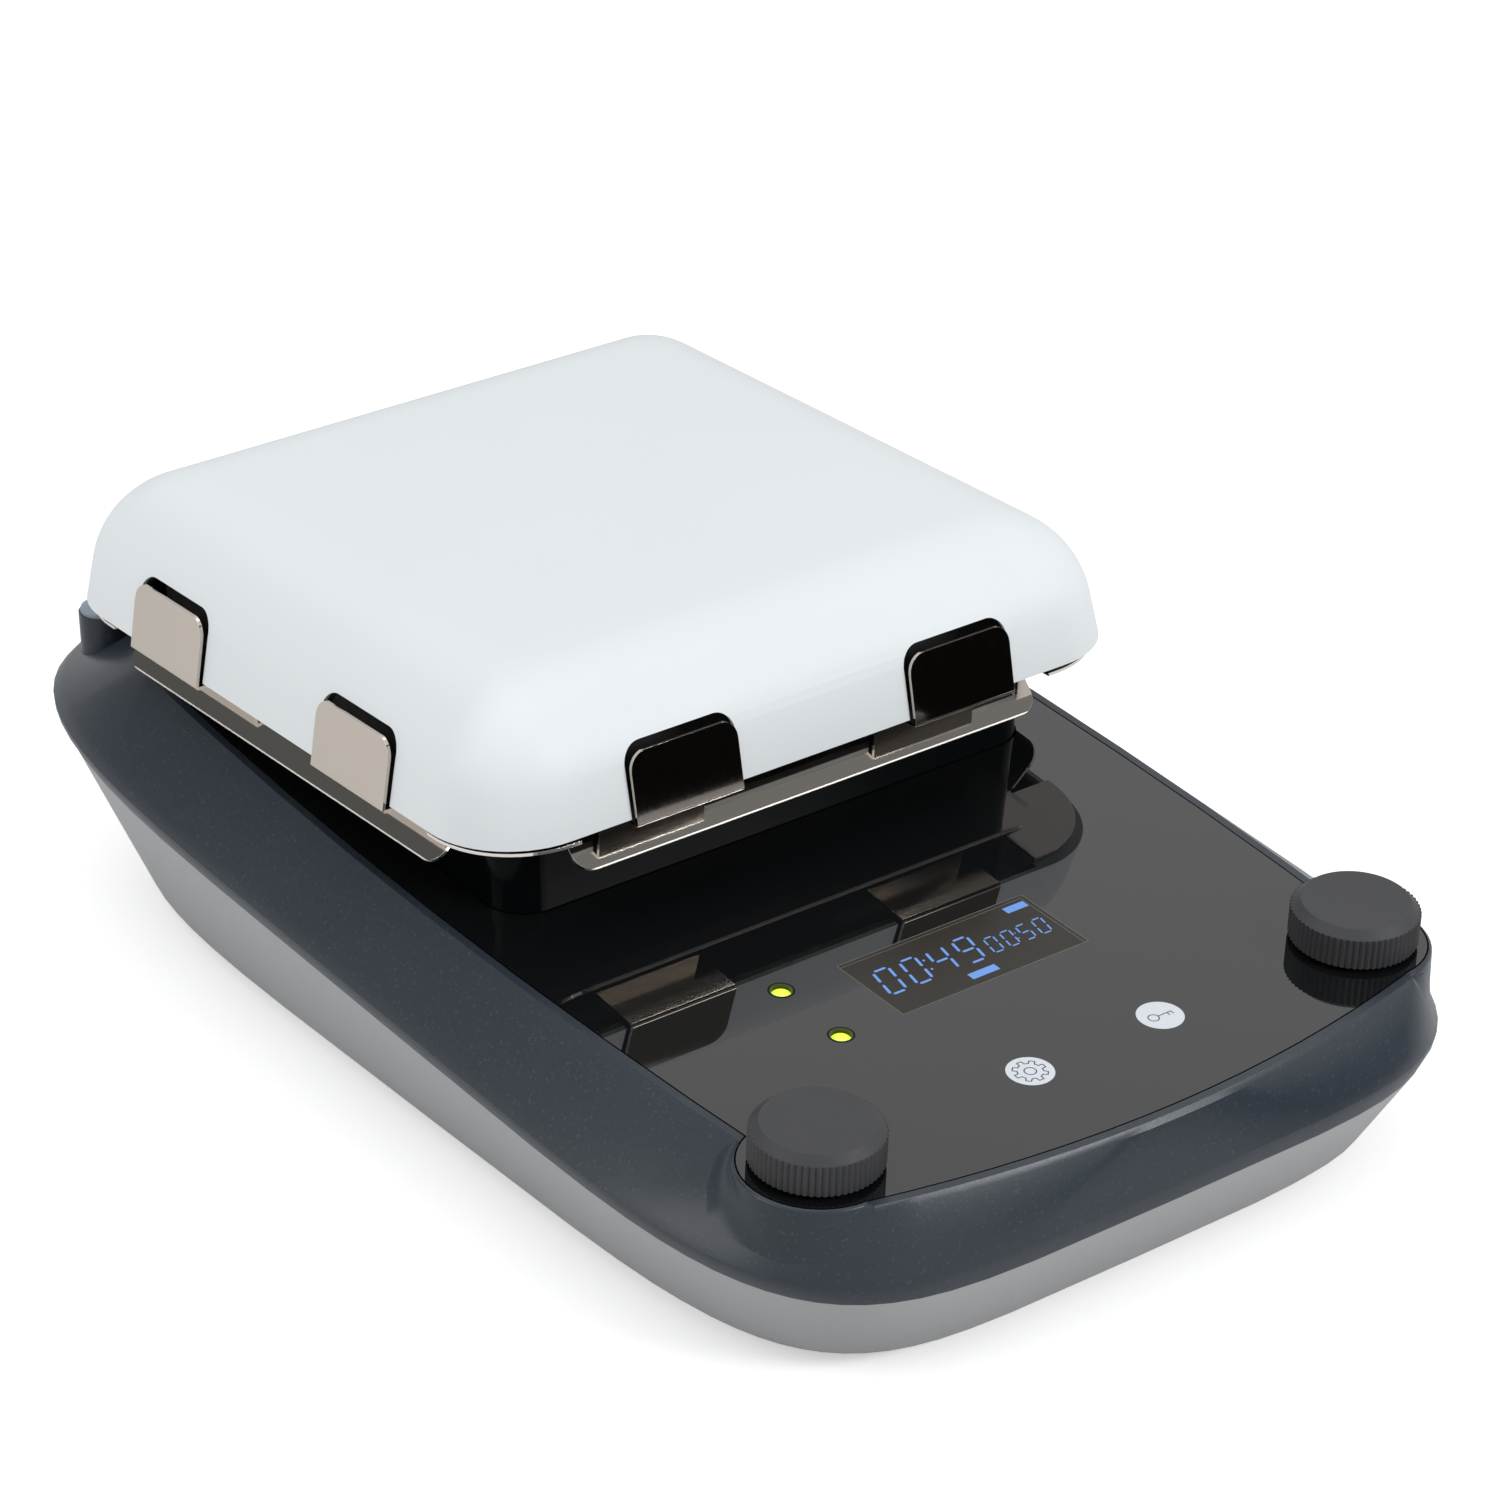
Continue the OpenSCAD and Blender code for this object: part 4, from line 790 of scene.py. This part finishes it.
digits = bmesh.new()
number(digits, "0049", left=-24.2, foot=40.3, step=7.5, width=5.0, tall=10.1, thick=0.68, lean=2.1)
dot(digits, x=-9.2, v=47.5, size=0.8)
dot(digits, x=-9.85, v=43.8, size=0.8)
number(digits, "0050", left=5.9, foot=40.8, step=4.65, width=3.1, tall=6.2, thick=0.4, lean=1.2)
dot(digits, x=14.95, v=44.8, size=0.5)
dot(digits, x=14.4, v=42.7, size=0.5)
bars = on_deck("display_digits", digits, digit_look)
print("faces in the digits:", len(bars.data.polygons))

# %% [markdown]
# ## Flags in the display
# Two small filled bars stand above and below the digits. Each is drawn as one flat face
# between its left, its foot, its right and its head, and pulled up as the digits are.

# %% Flags
FLAGS = {"above": (19.05, 52.0, 25.1, 54.3), "below": (-4.85, 35.3, 2.8, 37.6)}
flags = bmesh.new()
for left, foot, right, head in FLAGS.values():
    outline = ((left, foot, 0), (right, foot, 0), (right, head, 0), (left, head, 0))
    thicken(flags, [flags.faces.new([flags.verts.new(p) for p in outline])], INK_RISE)
on_deck("display_flags", flags, digit_look)
print("flags:", list(FLAGS))

# %% [markdown]
# ## Printed touch keys
# The two round keys are white ink on the glass, each with a small picture in thin dark lines:
# a toothed wheel for the settings and a key for the lock. White discs a few hundredths of a
# millimetre thick carry the pictures, drawn as ribbons of an even width. A ribbon has two
# points beside each point of its line, moved out a little at a corner, so that it doesn't
# grow thin there.

# %% Discs
DISC_PLACES = {"gear": (-17.9, 0.4), "key": (19.8, 1.0)}
DISC_R = 5.38
DISC_SIDES = 96
DISC_RISE = 0.02
FINE_GRAIN = 0.0005
FINE_DEPTH = 0.00001


def ink(name, colour, low, high):
    """A printed or bonded line: the matt recipe with the finest grain."""
    return matt_plastic(name, colour, low, high, grain_size=FINE_GRAIN, depth=FINE_DEPTH)


disc_look = ink("printed white", (0.56, 0.595, 0.64), low=0.35, high=0.5)
line_look = ink("printed grey", (0.06, 0.06, 0.065), low=0.4, high=0.5)
discs = bmesh.new()
for centre in DISC_PLACES.values():
    rim = bmesh.ops.create_circle(discs, cap_ends=True, segments=DISC_SIDES, radius=DISC_R,
                                  matrix=Matrix.Translation((*centre, 0.0)))["verts"]
    thicken(discs, list(rim[0].link_faces), DISC_RISE)
on_deck("touch_discs", discs, disc_look)
print("discs:", len(DISC_PLACES), "radius", DISC_R)

# %% Pictures on the discs
LINE = 0.28
LINE_RISE = 0.015
SHARPEST = 0.5
WHEEL_TEETH = 8
WHEEL_INNER, WHEEL_OUTER = 2.9, 3.9
HUB_R = 1.35
KEY_RING_R = 1.25
KEY_RING_LEFT = 1.9
KEY_LINES = (
    ((-0.62, 0.0), (3.2, 0.0)),
    ((1.9, 0.0), (1.9, -1.1)),
    ((3.05, 0.0), (3.05, -1.1)),
)


def ribbon(made, points, width, lift, height, closed):
    """A flat line of even width along the points, with a little thickness."""
    count = len(points)
    pairs = []
    for i, point in enumerate(points):
        point = Vector(point)
        after = Vector(points[(i + 1) % count]) if closed or i < count - 1 else None
        before = Vector(points[i - 1]) if closed or i > 0 else None
        first = (point - before).normalized() if before else (after - point).normalized()
        second = (after - point).normalized() if after else first
        along = (first + second).normalized()
        side = Vector((-along.y, along.x))
        reach = width / 2 / max(SHARPEST, side.dot(Vector((-first.y, first.x))))
        pairs.append([made.verts.new((*(point + side * reach * s), lift)) for s in (1, -1)])
    faces = []
    for i in range(count if closed else count - 1):
        a = pairs[i]
        b = pairs[(i + 1) % count]
        faces.append(made.faces.new((a[0], a[1], b[1], b[0])))
    thicken(made, faces, height)


def wheel_outline(centre, inner, outer, teeth):
    """Toothed wheel: round gaps between flat teeth, placed by shares of one tooth's turn."""
    one_tooth = ((-0.30, inner), (-0.20, outer), (-0.07, outer), (0.07, outer), (0.20, outer),
                 (0.30, inner), (0.5, inner))
    points = []
    for tooth in range(teeth):
        for share, radius in one_tooth:
            angle = 2 * math.pi * (tooth + share) / teeth
            points.append((centre[0] + radius * math.cos(angle), centre[1] + radius * math.sin(angle)))
    return points


def ring_outline(centre, radius, steps=32):
    return [(centre[0] + radius * math.cos(2 * math.pi * i / steps),
             centre[1] + radius * math.sin(2 * math.pi * i / steps)) for i in range(steps)]


icons = bmesh.new()
gear = DISC_PLACES["gear"]
lock = DISC_PLACES["key"]
key_ring = (lock[0] - KEY_RING_LEFT, lock[1])
for outline in (wheel_outline(gear, WHEEL_INNER, WHEEL_OUTER, WHEEL_TEETH), ring_outline(gear, HUB_R),
                ring_outline(key_ring, KEY_RING_R)):
    ribbon(icons, outline, width=LINE, lift=DISC_RISE, height=LINE_RISE, closed=True)
for line in KEY_LINES:
    stroke = [(lock[0] + px, lock[1] + pv) for px, pv in line]
    ribbon(icons, stroke, width=LINE, lift=DISC_RISE, height=LINE_RISE, closed=False)
pictures = on_deck("touch_pictures", icons, line_look)
print("faces in the pictures:", len(pictures.data.polygons))

# %% [markdown]
# ## Lenses of the status lights
# Each status light has a small domed lens that stands in its hole, just under the glass. A
# ball pressed flat makes a dome without a seam, and only its crown shows. The real hole is a
# little wider than the solid's, and its wall looks dark, so a thin black ring lies round
# each hole and draws the rest of it.

# %% Lenses and dark rings
LENS_PLACES = ((-42.8, 34.5), (-42.8, 55.8))
LENS_R = 2.45
LENS_FLATTEN = 0.5
LENS_SINK = 0.35
HOLE_EDGE_R = 2.9
HOLE_EDGE_WIDTH = 0.4
FILM = 0.01

lenses = bmesh.new()
for x, v in LENS_PLACES:
    dome = bmesh.ops.create_uvsphere(lenses, u_segments=40, v_segments=20, radius=LENS_R)["verts"]
    bmesh.ops.scale(lenses, verts=dome, vec=(1.0, 1.0, LENS_FLATTEN))
    bmesh.ops.translate(lenses, verts=dome, vec=(x, v, -LENS_SINK - LENS_FLATTEN * LENS_R))
lens_piece = on_deck("status_lenses", lenses, looks["status lamp"])
for face in lens_piece.data.polygons:
    face.use_smooth = True

hole_edges = bmesh.new()
for place in LENS_PLACES:
    rim = ring_outline(place, HOLE_EDGE_R, steps=48)
    ribbon(hole_edges, rim, width=HOLE_EDGE_WIDTH, lift=0.0, height=FILM, closed=True)
on_deck("hole_edges", hole_edges, looks["black gloss"])
print("lenses:", len(LENS_PLACES))

# %% [markdown]
# ## The display's edge
# The display is bonded behind the glass, so that its edge shows as a fine pale line, with a
# second, finer line inside it along the top and the right. Both are ribbons again.

# %% Edge lines
LCD_LEFT, LCD_FOOT, LCD_RIGHT, LCD_HEAD = -26.65, 33.05, 26.65, 56.55
EDGE_LINE = 0.22
INNER_LINE = 0.16
INNER_GAP = 1.1
INNER_SHORT = 0.2
edge_look = ink("display edge", (0.11, 0.105, 0.095), low=0.3, high=0.4)
outer_line = [(LCD_LEFT, LCD_FOOT), (LCD_RIGHT, LCD_FOOT), (LCD_RIGHT, LCD_HEAD), (LCD_LEFT, LCD_HEAD)]
inner_line = [(LCD_LEFT + INNER_SHORT, LCD_HEAD - INNER_GAP), (LCD_RIGHT - INNER_GAP, LCD_HEAD - INNER_GAP),
              (LCD_RIGHT - INNER_GAP, LCD_FOOT + INNER_SHORT)]
edges = bmesh.new()
ribbon(edges, outer_line, width=EDGE_LINE, lift=0.0, height=FILM, closed=True)
ribbon(edges, inner_line, width=INNER_LINE, lift=0.0, height=FILM, closed=False)
on_deck("display_edge", edges, edge_look)
print("display:", round(LCD_RIGHT - LCD_LEFT, 1), "by", round(LCD_HEAD - LCD_FOOT, 1))

# %% [markdown]
# ## Where the front bosses meet the flank
# The two front bosses don't stand on the flank with a hard crease: the moulding flows from one
# into the other. Rays are dropped round each boss to find the flank, and a skin is drawn as a
# grid whose rows run round the boss. Each column follows a soft curve from the boss's wall down
# to the flank. Both of its borders are sunk a little into the solid, so that no edge of the
# skin shows.

# %% Finding the flank
BOSS_X = 76.5
BOSS_R = 18.0
BOSS_DRAFT = 0.7 / 17.0
FILLET = 7.0
LIP_HEIGHT = -17.0
LIP_MARGIN = 2.5
RAY_START = 5.0
LEAST_REACH = 0.5
REACH_STEP = 0.25
LOOK_AHEAD = 0.5
shell = bmesh.new()
shell.from_mesh(nodes["upper_housing"].data)
bmesh.ops.transform(shell, matrix=Matrix.Scale(1.0 / MM, 4) @ deck.inverted(), verts=shell.verts)
shell_tree = BVHTree.FromBMesh(shell)
shell.free()


def flank_height(x, v):
    """Height of the flank under a place on the flat deck, in millimetres from the deck."""
    hit = shell_tree.ray_cast(Vector((x, v, RAY_START)), Vector((0.0, 0.0, -1.0)))[0]
    return hit.z if hit else LIP_HEIGHT


def reach_on_flank(start, across):
    """How far the fillet may run down the flank before it meets the lip."""
    lowest = LIP_HEIGHT + LIP_MARGIN
    reach = LEAST_REACH
    while reach < FILLET and flank_height(*(start + across * (reach + LOOK_AHEAD))) > lowest:
        reach += REACH_STEP
    return reach


print("flank in front of the left boss:", round(flank_height(-BOSS_X, -BOSS_R - 1.0), 2))

# %% Flowing fillets
FIRST_TURN = math.radians(116)
SWEEP = math.radians(156)
FILLET_TURNS = 72
FILLET_STEPS = 10
FOOT_OUT = 0.6
PROBE_OUT = 0.4
LEAST_RISE = 0.02
RISE_SHARE = 0.8
SUNK_IN_WALL = 0.12
SUNK_IN_FLANK = 0.25
SKIN_THICKNESS = 0.0004


def fillet(side, turns, steps):
    """One boss's skin: a grid of turns by steps, bent round the boss."""
    made = bmesh.new()
    bmesh.ops.create_grid(made, x_segments=turns, y_segments=steps, size=1.0)
    axis = Vector((-BOSS_X, 0.0))
    for vert in made.verts:
        turn = FIRST_TURN + SWEEP * (vert.co.x + 1) / 2
        share = (vert.co.y + 1) / 2
        across = Vector((math.cos(turn), math.sin(turn)))
        near = axis + across * (BOSS_R + FOOT_OUT)
        low = flank_height(*(near + across * PROBE_OUT))
        rise = min(FILLET, max(LEAST_RISE, -RISE_SHARE * low))
        far = near + across * reach_on_flank(near, across)
        wall = axis + across * (BOSS_R - SUNK_IN_WALL + BOSS_DRAFT * -(low + rise))
        top = Vector((wall.x, wall.y, low + rise))
        corner = Vector((near.x, near.y, low))
        end = Vector((far.x, far.y, flank_height(*far) - SUNK_IN_FLANK))
        bend = top * (1 - share) ** 2 + corner * 2 * share * (1 - share) + end * share ** 2
        vert.co = Vector((bend.x * -side, bend.y, bend.z))
    return made


for side, name in ((-1, "left_boss_fillet"), (1, "right_boss_fillet")):
    made = fillet(side, FILLET_TURNS, FILLET_STEPS)
    skin = on_deck(name, made, looks["dark paint"])
    if sum(face.normal.z for face in skin.data.polygons) < 0:
        skin.data.flip_normals()
    for face in skin.data.polygons:
        face.use_smooth = True
    thick = skin.modifiers.new("thickness", "SOLIDIFY")
    thick.thickness = SKIN_THICKNESS
    thick.offset = -1.0
    print(name, "faces:", len(skin.data.polygons))

# %% Finish
bpy.context.scene.view_settings.view_transform = "Standard"
